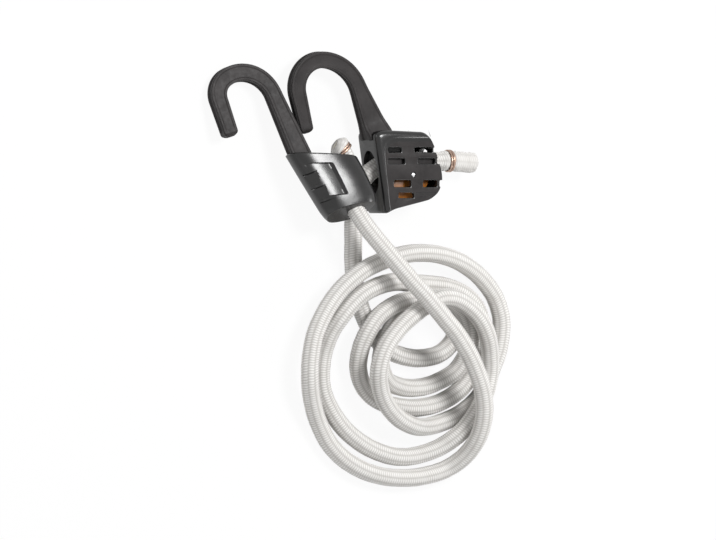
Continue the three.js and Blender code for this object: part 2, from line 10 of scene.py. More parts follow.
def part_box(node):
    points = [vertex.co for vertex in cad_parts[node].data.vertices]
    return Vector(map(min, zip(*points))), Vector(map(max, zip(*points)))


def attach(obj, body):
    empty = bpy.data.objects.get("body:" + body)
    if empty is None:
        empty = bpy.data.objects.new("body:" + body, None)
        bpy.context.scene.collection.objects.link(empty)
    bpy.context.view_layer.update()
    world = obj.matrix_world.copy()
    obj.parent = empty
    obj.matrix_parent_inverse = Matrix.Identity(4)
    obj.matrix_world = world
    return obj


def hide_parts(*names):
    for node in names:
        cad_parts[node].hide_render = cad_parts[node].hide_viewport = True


# A bungee cord: braided elastic cord laid in loose loops, with a moulded black hook at each end. Sizes are in
# millimetres in each piece's own frame, and MM turns them into metres.
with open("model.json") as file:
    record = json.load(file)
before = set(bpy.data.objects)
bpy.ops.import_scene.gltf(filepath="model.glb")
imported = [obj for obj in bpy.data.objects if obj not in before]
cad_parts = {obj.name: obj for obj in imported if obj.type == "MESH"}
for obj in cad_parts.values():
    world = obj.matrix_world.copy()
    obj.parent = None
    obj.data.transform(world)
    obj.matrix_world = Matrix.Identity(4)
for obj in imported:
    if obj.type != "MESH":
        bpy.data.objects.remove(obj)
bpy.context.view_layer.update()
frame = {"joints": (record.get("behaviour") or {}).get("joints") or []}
MM = 0.001
FRAME_WIDTH = 716
FRAME_HEIGHT = 540
RIGHT = Vector((1, 0, 0))
AHEAD = Vector((0, 1, 0))
UP = Vector((0, 0, 1))

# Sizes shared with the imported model
CORD_RADIUS = 4.25
GAP = 0.3
OVERRUN = 4
HOUSING_LENGTH = 37.2
HOUSING_ABOVE = 14.6  # from the cord's axis up to the top edge
HOUSING_BELOW = 25.6
HOUSING_DEPTH = 19
HOUSING_HEIGHT = HOUSING_ABOVE + HOUSING_BELOW
AXIS_HEIGHT = 9.5
CAM_HUB = 1.95
PIN_RADIUS = 1
PIN_SHARE = 0.567  # of the housing's length
ADJUSTER_PLACE = (14.2, -9.9)
COLLAR_WIDTH = 30
COLLAR_LENGTH = 44.4
COLLAR_LEFT = 12.6
COLLAR_BELOW = 3.8
COLLAR_HALF = 8  # half of its thickness
COLLAR_CORD_RISE = 0.5
ADJUSTER_ARM = {
    "heading": 114, "root": (12.4, 12), "edge": 0.9,
    "stretches": [
        {"straight": 6.5, "end": (11.5, 6.4)},
        {"straight": 18.5, "end": (7.3, 5.2)},
        {"radius": 22, "turn": 66, "end": (7.9, 5)},
        {"radius": 13.3, "turn": 104.6, "end": (7.8, 5)},
        {"straight": 16.6, "end": (6.7, 5)},
    ],
}
FIXED_ARM = {
    "heading": 80, "root": (8.8, 9), "edge": 1,
    "stretches": [
        {"straight": 7, "end": (9.6, 6.4)},
        {"straight": 29.6, "end": (7.4, 5.6)},
        {"radius": 16.7, "turn": 100, "end": (8.6, 5.5)},
        {"radius": 9.6, "turn": 74, "end": (8, 5.5)},
        {"straight": 16, "end": (7.3, 5.5)},
    ],
}
ARM_NOSE = 2.2
ARM_STEP = 1.2  # between the rings of an arm
ARM_TURN_STEP = 3  # degrees

# Where the pieces lie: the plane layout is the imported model's frame moved by the offset, which the pin gives.
pin_low, pin_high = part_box("cam_pin")
pin_centre = (pin_low + pin_high) / 2
pin_in_layout = Vector((
    ADJUSTER_PLACE[0] + PIN_SHARE * HOUSING_LENGTH,
    ADJUSTER_PLACE[1] - CORD_RADIUS - GAP - CAM_HUB,
    0,
))
offset = Vector((pin_centre.x, pin_centre.y, 0)) - pin_in_layout * MM
SCALE = Matrix.Scale(MM, 4)
LAYOUT = Matrix.Translation(offset) @ SCALE
ADJUSTER = LAYOUT @ Matrix.Translation((*ADJUSTER_PLACE, 0))
ON_PIN = LAYOUT @ Matrix.Translation(pin_in_layout)

# The fixed hook's own frame comes from its swivel, whose axis is the cord's at the mouth of the collar.
MOUTH_SHARES = (0.483, -0.016)
swivel = next(j for j in frame["joints"] if j["name"] == "fixed_hook_swivel")
hook_along = Vector(swivel["axis"]).normalized()
hook_across = Vector((hook_along.y, -hook_along.x, 0)).normalized()
hook_up = hook_across.cross(hook_along)
hook_turn = Matrix((hook_across, hook_along, hook_up)).transposed().to_4x4()


def in_collar(shares):
    return Vector((shares[0] * COLLAR_WIDTH - COLLAR_LEFT, shares[1] * COLLAR_LENGTH - COLLAR_BELOW))


mouth = in_collar(MOUTH_SHARES).to_3d() + UP * COLLAR_CORD_RISE
HOOK = Matrix.Translation(Vector(swivel["pos_m"])) @ hook_turn @ SCALE @ Matrix.Translation(-mouth)

# The camera looks down steeply from the left, without perspective.
TILT = math.radians(30)
PIXELS_PER_MM = 2.11
LAYOUT_ORIGIN_PIXEL = (330, 140)
CAMERA_DISTANCE = 1.2


def make_camera():
    right = Vector((math.cos(TILT), 0, math.sin(TILT)))
    back = Vector((-math.sin(TILT), 0, math.cos(TILT)))
    up = back.cross(right)
    aside = (FRAME_WIDTH / 2 - LAYOUT_ORIGIN_PIXEL[0]) / PIXELS_PER_MM * MM
    below = (FRAME_HEIGHT / 2 - LAYOUT_ORIGIN_PIXEL[1]) / PIXELS_PER_MM * MM
    data = bpy.data.cameras.new("camera")
    data.type = "ORTHO"
    data.ortho_scale = FRAME_WIDTH / PIXELS_PER_MM * MM
    camera = bpy.data.objects.new("camera", data)
    camera.matrix_world = Matrix((right, up, back)).transposed().to_4x4()
    camera.location = offset + right * aside - up * below + back * CAMERA_DISTANCE
    bpy.context.scene.collection.objects.link(camera)
    bpy.context.scene.camera = camera


make_camera()


# Meshes
CORNER_SHARE = 0.45  # the most of an edge that the rounding of one corner takes


def piece_from(name, vertices, faces, place):
    mesh = bpy.data.meshes.new(name)
    mesh.from_pydata([tuple(v) for v in vertices], [], faces)
    mesh.transform(place)
    mesh.update()
    piece = bpy.data.objects.new(name, mesh)
    bpy.context.scene.collection.objects.link(piece)
    return piece


def tube_faces(rings, count, start=0):
    """The faces of a tube over rings of equally many points, which are numbered from the start on."""
    faces = []
    for ring in range(rings - 1):
        for k in range(count):
            a = start + ring * count + k
            b = start + ring * count + (k + 1) % count
            faces.append((a, b, b + count, a + count))
    return faces


def loft(name, rings, place):
    """A tube over the rings, with a flat face over each end."""
    count = len(rings[0])
    last = (len(rings) - 1) * count
    ends = [tuple(reversed(range(count))), tuple(range(last, last + count))]
    return piece_from(name, [p for ring in rings for p in ring], tube_faces(len(rings), count) + ends, place)


def circle(sides):
    """The angles of the points on a circle."""
    return [k / sides * 2 * math.pi for k in range(sides)]


def ring_round(centre, across, other, sides):
    """A round or oval ring, which reaches as far from its centre as the two directions are long."""
    return [centre + across * math.cos(t) + other * math.sin(t) for t in circle(sides)]


def turned(degrees, length=1.0):
    angle = math.radians(degrees)
    return Vector((math.cos(angle) * length, math.sin(angle) * length))


def rounded(points, radii, steps=3):
    """The outline with each corner rounded by a short curve."""
    if not hasattr(radii, "__len__"):
        radii = [radii] * len(points)
    result = []
    for k, corner in enumerate(points):
        back = points[k - 1] - corner
        ahead = points[(k + 1) % len(points)] - corner
        cut = min(radii[k], CORNER_SHARE * back.length, CORNER_SHARE * ahead.length)
        start = corner + back.normalized() * cut
        end = corner + ahead.normalized() * cut
        for step in range(steps + 1):
            t = step / steps
            result.append(start * (1 - t) ** 2 + corner * (2 * t * (1 - t)) + end * t ** 2)
    return result


def cross(a, b):
    return a.x * b.y - a.y * b.x


def inset(points, distances):
    """The outline with each edge moved inwards by its own distance. The points run anticlockwise."""
    if not hasattr(distances, "__len__"):
        distances = [distances] * len(points)
    edges = []
    for k, a in enumerate(points):
        along = (points[(k + 1) % len(points)] - a).normalized()
        edges.append((a + Vector((-along.y, along.x)) * distances[k], along))
    result = []
    for k, (start, along) in enumerate(edges):
        before, way = edges[k - 1]
        reach = cross(start - before, along) / cross(way, along)
        result.append(before + way * reach)
    return result


def at_height(outline, z):
    return [Vector((p.x, p.y, z)) for p in outline]


def prism(name, outline, low, high, place):
    return loft(name, [at_height(outline, low), at_height(outline, high)], place)


def rectangle(left, right, low, high):
    return [Vector(p) for p in ((left, low), (right, low), (right, high), (left, high))]


def moulding(name, points, corner, low, high, bevels, rise, place, steps=5):
    """A prism with rounded corners, whose rims are rounded over each edge's own width and one height."""
    rings = []

    def level(step, end, upwards):
        angle = step / steps * math.pi / 2
        shrink = 1 - math.sin(angle)
        height = end + upwards * rise * (1 - math.cos(angle))
        rings.append(at_height(rounded(inset(points, [b * shrink for b in bevels]), corner, 4), height))

    for step in range(steps + 1):
        level(step, low, 1)
    for step in range(steps, -1, -1):
        level(step, high, -1)
    return loft(name, rings, place)


def combine(piece, others, operation):
    """Joins or cuts the piece with the others, which leave their materials where they met it."""
    for other in others:
        if not other.data.materials:
            other.data.materials.append(piece.data.materials[0])
        modifier = piece.modifiers.new("combine", "BOOLEAN")
        modifier.operation = operation
        modifier.object = other
        modifier.solver = "MANIFOLD"
        modifier.material_mode = "TRANSFER"
        modifier.use_self = False
        depsgraph = bpy.context.evaluated_depsgraph_get()
        mesh = bpy.data.meshes.new_from_object(piece.evaluated_get(depsgraph))
        piece.modifiers.remove(modifier)
        piece.data = mesh
        bpy.data.objects.remove(other)
    return piece


def finish_surface(piece, sharp_angle=32):
    """Smooth shading, with the edges kept sharp where the surface turns more than the angle."""
    for polygon in piece.data.polygons:
        polygon.use_smooth = True
    piece.data.set_sharp_from_angle(angle=math.radians(sharp_angle))
    return piece


def dress(piece, material, body, slot, *nodes):
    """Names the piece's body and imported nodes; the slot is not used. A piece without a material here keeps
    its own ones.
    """
    if material:
        piece.data.materials.clear()
        piece.data.materials.append(material)
    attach(piece, body)
    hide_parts(*nodes)


# The cord's route, in the layout's millimetres: from the cut end through the adjuster, round the loops, and
# up to the mouth of the collar.
TAIL_POINTS = [(73.2, -10.9, 9.3), (67.4, -10.5, 9.4), (61.6, -10, 9.5)]
HELD_POINTS = [
    (57.1, -9.9, 9.5), (52, -9.9, 9.5), (40, -9.9, 9.5), (32, -9.9, 9.5), (24.5, -11, 9.2),
    (19.5, -13.6, 8.3), (15.4, -17.2, 7.1),
]
RUN_POINTS = [
    (13.85, -19.75, 6.27), (12.5, -22, 5.55), (11.2, -27.4, 4.6), (10.6, -33.6, 4.4), (10.2, -39.8, 4.4),
]
COIL_POINTS = [
    (10.2, -49.2, 4.4), (10.2, -57.8, 4.4), (11.2, -69.2, 4.4), (14.4, -79.6, 4.4), (19.4, -89.6, 4.4),
    (26, -97.2, 4.4), (34.8, -101.8, 4.4), (47.4, -103.4, 4.4), (58.2, -100.8, 4.4), (65.2, -94, 4.4),
    (66, -85.6, 4.4), (61.6, -79.8, 4.4), (52.8, -78.2, 4.4), (43, -80, 5), (33.2, -84.4, 8.4),
    (24.6, -92, 13.1), (20.6, -100, 13.6), (21, -107.6, 12), (26.2, -113.8, 8.4), (35.8, -117, 5.2),
    (46.8, -117.2, 4.4), (57, -114.2, 5), (65, -109, 7.2), (68.6, -100.4, 11.2), (69.4, -91, 12.8),
    (66.2, -82, 13.2), (59.2, -76.4, 13.2), (49.2, -74.8, 13.2), (38.8, -75.4, 13.2), (28.4, -77.8, 13.2),
    (19.6, -83, 13.4), (13.6, -90, 13.4), (10.6, -98.6, 11), (11, -107.2, 7.6), (14.8, -115.2, 4.6),
    (21, -121.8, 4.4), (30.4, -125.6, 4.4), (41.2, -127, 4.4), (52.8, -125.8, 4.4), (63.2, -121.8, 4.4),
    (71.2, -115.6, 4.4), (76, -107, 4.4), (79.6, -96.6, 4.4), (80, -86.2, 4.4), (76.2, -78, 5),
    (69.2, -72.6, 5.2), (61, -69.6, 5.2), (51.4, -68.4, 5.6), (40.6, -67.8, 7.6), (30, -67.2, 10.4),
    (19.8, -68.8, 13.1), (12, -72, 13.4), (5.4, -76.8, 13.2), (-0.4, -83.4, 12), (-4.4, -91.4, 8.4),
    (-6.2, -100.4, 5), (-7.4, -110, 4.4), (-6.4, -119, 4.4), (-2.4, -127.4, 4.4), (4, -135.6, 4.4),
    (12.8, -142.6, 4.4), (23.8, -147.8, 4.4), (35.8, -150.2, 4.4), (47.8, -148.8, 4.4), (57.6, -145, 6.4),
    (65, -138.8, 10.8), (71.2, -130.4, 14), (76.4, -120.8, 14.4), (78.8, -110.4, 15), (77.4, -101, 17.6),
    (74.2, -92.8, 20.8), (69, -84.8, 22.8), (63, -79.2, 22.8), (56, -75.4, 22.6), (47.8, -74.8, 22.4),
    (39.8, -78.6, 22.2), (31.6, -83.8, 22.2), (23.4, -91, 22.2), (16.8, -100, 22.2), (15, -109.4, 20.4),
    (18.4, -119, 16.4), (24.4, -127, 13.8), (33, -133.2, 12), (44, -136, 9), (55.4, -134.6, 5.6),
    (67, -130.6, 4.4), (75.6, -125, 4.4), (82, -117.8, 4.4), (85.6, -109.4, 4.4), (89, -101.4, 4.4),
    (91, -92.8, 4.4), (91, -83.8, 4.4), (87.8, -74.8, 4.4), (80.8, -66.4, 5), (71.2, -59.8, 6.4),
    (59.6, -55.4, 8.4), (47, -53.6, 10.4), (35.2, -54, 12), (24.2, -56.4, 13), (13.6, -60.2, 13.4),
    (4.4, -65.8, 13.4), (-3.8, -73, 13.2), (-10.4, -81.6, 13.2), (-15.4, -91, 13.2), (-18, -101.4, 13.2),
    (-18.2, -112.4, 12.4), (-15, -123.2, 9), (-9.2, -134.6, 5.6), (-2, -145, 4.4), (8, -153, 4.4),
    (20.6, -158.2, 4.4), (34.8, -160.2, 4.4), (49, -159.2, 4.4), (61.2, -155.4, 6), (67.2, -149.2, 12.4),
    (69.8, -140.8, 19.6), (70.2, -131.2, 24.4), (68.6, -121.8, 27), (64.8, -112.4, 29), (58.6, -101.4, 30.4),
    (51, -91.4, 31.2), (43.2, -83, 31.2), (35, -74.4, 31.2), (27, -65.9, 29.4),
]
LEAD_POINTS = [(21.6, -59.3, 27.5), (16.4, -52.9, 25.7), (11.6, -46.9, 23.9)]
INTO_COLLAR = 7  # how far the free cord reaches into the collar, straight along its axis
COLLAR_CORD_SHARES = [
    (0.483, -0.016), (0.483, 0.108), (0.52, 0.243), (0.613, 0.378), (0.747, 0.505), (0.827, 0.59),
    (0.85, 0.64), (0.843, 0.698), (0.81, 0.757), (0.791, 0.782),
]
CURVE_STEPS = 40  # between two of the route's points


def smooth_path(points, step):
    """Points a step apart along the centripetal Catmull-Rom curve through the given ones."""
    p = np.array([tuple(q) for q in points], float)
    p = np.vstack([2 * p[0] - p[1], p, 2 * p[-1] - p[-2]])
    dense = []
    for k in range(1, len(p) - 2):
        x0, x1, x2, x3 = p[k - 1:k + 3]
        d0, d1, d2 = (math.sqrt(np.linalg.norm(b - a)) for a, b in ((x0, x1), (x1, x2), (x2, x3)))
        t1 = ((x1 - x0) / d0 - (x2 - x0) / (d0 + d1) + (x2 - x1) / d1) * d1
        t2 = ((x2 - x1) / d1 - (x3 - x1) / (d1 + d2) + (x3 - x2) / d2) * d1
        t = np.linspace(0, 1, CURVE_STEPS, endpoint=False)[:, None]
        square = (3 * (x2 - x1) - 2 * t1 - t2) * t ** 2
        cube = (2 * (x1 - x2) + t1 + t2) * t ** 3
        dense.append(x1 + t1 * t + square + cube)
    dense.append(p[-2:-1])
    dense = np.vstack(dense)
    along = np.concatenate([[0], np.cumsum(np.linalg.norm(np.diff(dense, axis=0), axis=1))])
    count = max(2, round(along[-1] / step))
    even = np.linspace(0, along[-1], count + 1)
    return np.stack([np.interp(even, along, dense[:, axis]) for axis in range(3)], axis=1)


def frames_along(path):
    """A direction ahead and two across it at each point, turning as little as they can."""
    ahead = np.gradient(path, axis=0)
    ahead /= np.linalg.norm(ahead, axis=1)[:, None]
    side = np.cross(ahead[0], (0, 0, 1))
    side /= np.linalg.norm(side)
    sides = []
    for direction in ahead:
        side = side - direction * side.dot(direction)
        side /= np.linalg.norm(side)
        sides.append(side)
    sides = np.array(sides)
    return ahead, sides, np.cross(ahead, sides)


# The braid: its yarns show as columns of short ribs, each column half a rib on from its neighbours.
RIB_PITCH = 1.16
RING_STEP = RIB_PITCH / 2
BRAID_COLUMNS = 8
SIDES_PER_COLUMN = 4
BRAID_SIDES = BRAID_COLUMNS * SIDES_PER_COLUMN
RIB_HEIGHT = 0.3
RIB_SHARES = (0.05, 0.78, 1, 0.78)  # of the rib's height, at the sides of one column
VALLEY_SHARE = 0.12
LEAN_SHARE = 0.252  # of the pitch, how far a rib leans over across its column
UNEVEN = 0.06  # how much the braid's radius changes here and there
UNEVEN_WAVES = ((0.83, 2, 0), (0.37, 3, 1))  # how fast they run along and around, and where they start

# Its cut ends: how far the loosened braid reaches, where a ring presses on it, how much thicker it is, how
# long and how strong the rounding of the end is, and how far from the axis the strands in it lie.
TAIL_END = {"loose": 19, "ring": 13.8, "swell": 0.62, "dome": 1.1, "dome_share": 0.16, "strands": 3.1}
FOLDED_END = {"loose": 5.2, "ring": 5.6, "swell": 2.1, "dome": 4.6, "dome_share": 0.8, "strands": 1.9}
LOOSE_FADE = 2.5  # over which the loosened braid tightens again
LOOSE_RIB_LOSS = 0.55  # how much flatter its ribs are
LOOSE_RIB_RISE = 0.2
CRINKLE = 0.32  # how uneven it is
CRINKLE_WAVES = ((0.55, 2.2, 1), (1.5, 5, 0.6))  # how fine along and around, and how strong
PRESS_REACH = 1.5  # of a ring that presses on the braid, and how deep it presses
PRESS_DEPTH = 0.2
END_RECESS = 0.5  # of the rubber inside the cut end
END_SHARES = ((0.96, 0), (0.87, 0.25), (0.83, 1))  # of the end's radius and of the recess, inwards
# Painted shade inside the braid's cut end, given as a share of a rib's height.
END_PAINTED_SHADE = 0.3  # as a share of a rib's height


def ribs_along(along, end):
    """The braid's radius and the share of a rib's height, at each point of each ring."""
    column = np.arange(BRAID_SIDES) // SIDES_PER_COLUMN
    crest = (np.arange(len(along))[:, None] + column) % 2 == 0
    height = np.where(crest, np.tile(RIB_SHARES, BRAID_COLUMNS), VALLEY_SHARE)
    angles = np.array(circle(BRAID_SIDES))
    slow, fast = (np.sin(along[:, None] * a + angles * turns + first) for a, turns, first in UNEVEN_WAVES)
    radius = CORD_RADIUS - RIB_HEIGHT / 2 + UNEVEN * slow * fast
    loose = np.clip((end["loose"] - along) / LOOSE_FADE, 0, 1)[:, None]
    for ring in np.nonzero(loose)[0]:
        for k, angle in enumerate(angles):
            crinkle = 0
            for length, turns, strength in CRINKLE_WAVES:
                spot = Vector((along[ring] * length, math.cos(angle) * turns, math.sin(angle) * turns))
                crinkle += strength * noise.noise(spot)
            radius[ring, k] += loose[ring, 0] * (end["swell"] + CRINKLE * crinkle)
    pressed = np.exp(-((along - end["ring"]) / PRESS_REACH) ** 4)[:, None]
    radius = radius * (1 - pressed) + np.minimum(radius, CORD_RADIUS - PRESS_DEPTH) * pressed
    height = height * (1 - LOOSE_RIB_LOSS * loose) + LOOSE_RIB_RISE * loose
    to_end = np.clip((end["dome"] - along) / end["dome"], 0, 1)[:, None]
    return (radius + RIB_HEIGHT * height) * np.sqrt(1 - to_end ** 2 * end["dome_share"]), height


def map_yarn(mesh, along):
    """A map that runs round the braid and along it, in metres."""
    vertex_of = np.zeros(len(mesh.loops), np.int64)
    mesh.loops.foreach_get("vertex_index", vertex_of)
    ring_of = np.minimum(vertex_of // BRAID_SIDES, len(along) - 1)
    around = vertex_of % BRAID_SIDES / BRAID_SIDES
    quads = np.array([p.loop_start for p in mesh.polygons if p.loop_total == 4])[:, None] + np.arange(4)
    corners = around[quads]
    crosses_seam = np.ptp(corners, axis=1)[:, None] > 0.5
    around[quads] = corners + (crosses_seam & (corners < 0.5))
    uv = np.stack([around * 2 * math.pi * CORD_RADIUS * MM, along[ring_of] * MM], axis=1)
    mesh.uv_layers.new(name="Yarn").data.foreach_set("uv", uv.reshape(-1).astype(np.float32))


def braid(name, path, place, end):
    """A braided cord along the path, which starts at its cut end."""
    ahead, across, other = frames_along(path)
    along = np.concatenate([[0], np.cumsum(np.linalg.norm(np.diff(path, axis=0), axis=1))])
    radius, height = ribs_along(along, end)
    angle = np.array(circle(BRAID_SIDES))
    column, within = np.divmod(np.arange(BRAID_SIDES), SIDES_PER_COLUMN)
    lean = (within / SIDES_PER_COLUMN - 0.5) * np.where(column % 2 == 0, 1, -1) * LEAN_SHARE * RIB_PITCH
    vertices = list((
        path[:, None, :]
        + across[:, None, :] * (np.cos(angle)[:, None] * radius[:, :, None])
        + other[:, None, :] * (np.sin(angle)[:, None] * radius[:, :, None])
        + ahead[:, None, :] * lean[:, None]
    ).reshape(-1, 3))
    heights = list(height.reshape(-1))
    faces = tube_faces(len(path), BRAID_SIDES)
    reach = (CORD_RADIUS + end["swell"]) * math.sqrt(1 - end["dome_share"])
    rim = range(BRAID_SIDES)
    for share, back in END_SHARES:
        inner = range(len(vertices), len(vertices) + BRAID_SIDES)
        outwards = across[0] * np.cos(angle)[:, None] + other[0] * np.sin(angle)[:, None]
        vertices += list(path[0] + ahead[0] * END_RECESS * back + outwards * reach * share)
        # The inside of the cut end gets painted shade.
        heights += [END_PAINTED_SHADE] * BRAID_SIDES
        for k in range(BRAID_SIDES):
            after = (k + 1) % BRAID_SIDES
            faces.append((inner[k], inner[after], rim[after], rim[k]))
        rim = inner
    last = (len(path) - 1) * BRAID_SIDES
    faces += [tuple(reversed(rim)), tuple(range(last, last + BRAID_SIDES))]
    piece = piece_from(name, vertices, faces, place)
    # The rib's height also serves the material as the mask of its painted shade.
    shade = piece.data.attributes.new("rib_height", "FLOAT", "POINT")
    shade.data.foreach_set("value", np.array(heights, np.float32))
    map_yarn(piece.data, along)
    return finish_surface(piece, sharp_angle=80)


# Materials
def new_material(name):
    material = bpy.data.materials.new(name)
    material.use_nodes = True
    tree = material.node_tree
    return material, tree, tree.nodes["Principled BSDF"]


def is_socket(value):
    return isinstance(value, bpy.types.NodeSocket)


def connect(tree, node, inputs):
    for key, value in inputs.items():
        if is_socket(value):
            tree.links.new(value, node.inputs[key])
        else:
            node.inputs[key].default_value = value


def add(tree, kind, inputs=None, **settings):
    made = tree.nodes.new(kind)
    for key, value in settings.items():
        setattr(made, key, value)
    connect(tree, made, inputs or {})
    return made


def grain(tree, size, detail=2, where=None, stretch=(1, 1, 1)):
    """Noise whose spots are about the size, in millimetres."""
    where = where or add(tree, "ShaderNodeTexCoord").outputs["Object"]
    scaled = add(tree, "ShaderNodeMapping", {"Vector": where, "Scale": [s / (size * MM) for s in stretch]})
    inputs = {"Vector": scaled.outputs[0], "Scale": 1, "Detail": detail, "Roughness": 0.55}
    return add(tree, "ShaderNodeTexNoise", inputs).outputs["Fac"]


def blend_colours(tree, share, low, high, blend_type="MIX"):
    """The second colour over the first, which is a colour or a socket."""
    inputs = {"Factor": share, "A": low if is_socket(low) else (*low, 1), "B": (*high, 1)}
    return add(tree, "ShaderNodeMix", inputs, data_type="RGBA", blend_type=blend_type).outputs["Result"]


def spread(tree, value, low, high, start=0.3, stop=0.7):
    """The value, which runs from start to stop, made to run from low to high."""
    inputs = {"Value": value, "From Min": start, "From Max": stop, "To Min": low, "To Max": high}
    return add(tree, "ShaderNodeMapRange", inputs).outputs["Result"]


def bumps(tree, layers):
    """Bumps of several heights in millimetres, one over another."""
    normal = None
    for height, depth in layers:
        inputs = {"Height": height, "Distance": depth * MM, "Strength": 1}
        if normal:
            inputs["Normal"] = normal
        normal = add(tree, "ShaderNodeBump", inputs).outputs["Normal"]
    return normal


def black_plastic(name, roughness, patches, spark, gloss, dark, light):
    """Black plastic with a spark texture of that depth, and patches that are smoother or rougher."""
    material, tree, shader = new_material(name)
    broad = grain(tree, 9, 3)
    fine = grain(tree, 0.42, 2)
    finer = grain(tree, 0.16, 1)
    connect(tree, shader, {
        "Base Color": blend_colours(tree, spread(tree, broad, 0, 1), dark, light),
        "Roughness": spread(tree, grain(tree, 2.2, 4), roughness - patches, roughness + patches),
        "Normal": bumps(tree, [(fine, spark), (finer, spark * 0.4)]),
        "Specular IOR Level": gloss,
    })
    return material


def braid_material(name, low, high, stain):
    """Yarn with painted shade between its ribs, darker where the rib's height is low, and broad faint stains.
    """
    material, tree, shader = new_material(name)
    rib = add(tree, "ShaderNodeAttribute", attribute_name="rib_height").outputs["Fac"]
    where = add(tree, "ShaderNodeUVMap", uv_map="Yarn").outputs["UV"]
    filament = grain(tree, 0.14, 2, where, (0.16, 1, 1))
    # The rib's height paints shade: the valleys take the darker colour, and the crests take the yarn's own
    # colour.
    depth = add(tree, "ShaderNodeMath", {0: spread(tree, rib, 0, 1, 0.0, 0.9), 1: 0.75}, operation="POWER")
    rib_shaded = blend_colours(tree, depth.outputs[0], low, high)
    stained = spread(tree, grain(tree, 5, 3), 0, 0.35)
    connect(tree, shader, {
        "Base Color": blend_colours(tree, stained, rib_shaded, stain, "MULTIPLY"),
        "Roughness": spread(tree, filament, 0.6, 0.8),
        "Normal": bumps(tree, [(filament, 0.05), (grain(tree, 0.5, 2), 0.04)]),
        "Sheen Weight": 0.25,
        "Sheen Roughness": 0.4,
        "Specular IOR Level": 0.35,
    })
    return material


def metal(name, dark, light, roughness, scratch):
    material, tree, shader = new_material(name)
    lines = grain(tree, 0.5, 2, stretch=(1, 6, 6))
    connect(tree, shader, {
        "Base Color": blend_colours(tree, spread(tree, grain(tree, 1.6, 3), 0, 1), dark, light),
        "Metallic": 1,
        "Roughness": spread(tree, lines, roughness - 0.06, roughness + 0.1),
        "Normal": bumps(tree, [(lines, scratch)]),
    })
    return material


def amber_plastic(name, dark, light):
    material, tree, shader = new_material(name)
    flow = grain(tree, 4, 3, stretch=(1, 0.4, 1))
    connect(tree, shader, {
        "Base Color": blend_colours(tree, spread(tree, flow, 0, 1), dark, light),
        "Roughness": spread(tree, grain(tree, 1.5, 3), 0.28, 0.42),
        "Normal": bumps(tree, [(grain(tree, 0.5, 2), 0.015)]),
        "Subsurface Weight": 0.15,
        "Subsurface Radius": (2 * MM, 0.8 * MM, 0.2 * MM),
    })
    return material


def rubber(name, dark, light):
    material, tree, shader = new_material(name)
    connect(tree, shader, {
        "Base Color": blend_colours(tree, spread(tree, grain(tree, 0.7, 3), 0, 1), dark, light),
        "Roughness": 0.6,
        "Normal": bumps(tree, [(grain(tree, 0.3, 3), 0.05)]),
    })
    return material


spark_plastic = black_plastic(
    "black_spark_plastic", roughness=0.5, patches=0.06, spark=0.014, gloss=0.18,
    dark=(0.012, 0.0105, 0.0105), light=(0.03, 0.0265, 0.0265),
)
gloss_plastic = black_plastic(
    "black_satin_plastic", roughness=0.24, patches=0.02, spark=0.003, gloss=0.5,
    dark=(0.005, 0.005, 0.005), light=(0.009, 0.0085, 0.0085),
)
# The braid's colours: painted shade between the ribs, the yarn's own colour on the crests, and its stains.
white_braid = braid_material("off_white_braid", (0.42, 0.405, 0.385), (0.84, 0.83, 0.81), (0.86, 0.84, 0.82))
amber = amber_plastic("amber_plastic", (0.2, 0.065, 0.006), (0.36, 0.125, 0.012))
copper = metal("coppery_wire", (0.3, 0.2, 0.15), (0.45, 0.33, 0.27), roughness=0.34, scratch=0.02)
steel = metal("bright_steel", (0.6, 0.6, 0.61), (0.72, 0.72, 0.73), roughness=0.22, scratch=0.01)
latex = rubber("latex_strands", (0.5, 0.47, 0.4), (0.66, 0.63, 0.55))


# The free cord, from its cut end to the mouth of the collar and a little way into its bore.
to_layout = LAYOUT.inverted() @ HOOK
mouth_place = to_layout @ mouth
into_mouth = (to_layout.to_3x3() @ AHEAD).normalized()
free_points = TAIL_POINTS + HELD_POINTS + RUN_POINTS + COIL_POINTS + LEAD_POINTS
free_points += [tuple(mouth_place + into_mouth * reach) for reach in (-CORD_RADIUS, 0, INTO_COLLAR)]
free_path = smooth_path(free_points, RING_STEP)
braided_cord = braid("braided_cord", free_path, LAYOUT, TAIL_END)
dress(
    braided_cord, white_braid, "cord", "cord_braid",
    "cord_coil", "cord_lead", "cord_run", "cord_in_adjuster", "cord_tail",
)

# The stretch inside the collar and folded back behind it, turned about so that it also starts at its cut end.
collar_points = [in_collar(s).to_3d() + UP * COLLAR_CORD_RISE for s in COLLAR_CORD_SHARES]
collar_path = smooth_path(collar_points, RING_STEP)
folded_path = collar_path[round(INTO_COLLAR / RING_STEP) + 1:][::-1]
folded_end = braid("folded_end", folded_path, HOOK, FOLDED_END)
dress(folded_end, white_braid, "fixed_end", "cord_braid", "cord_fixed_end")

# The rubber strands inside the braid, whose ends show in its cut ends
STRAND_RADIUS = 0.56
STRAND_SPACING = 1.2
STRAND_ROWS = 3  # on each side of the middle one
STRAND_SIDES = 10
STRAND_REACH = 0.21  # past the recess in the braid's end
STRAND_UNEVEN = 0.28
STRAND_GRAIN = 1.7
STRAND_GRAIN_LEVEL = 0.3
STRAND_BELOW = 0.8
STRAND_END_SHARES = ((1, 0.6), (0.82, 0.9), (0.4, 1))  # of its radius and of its reach


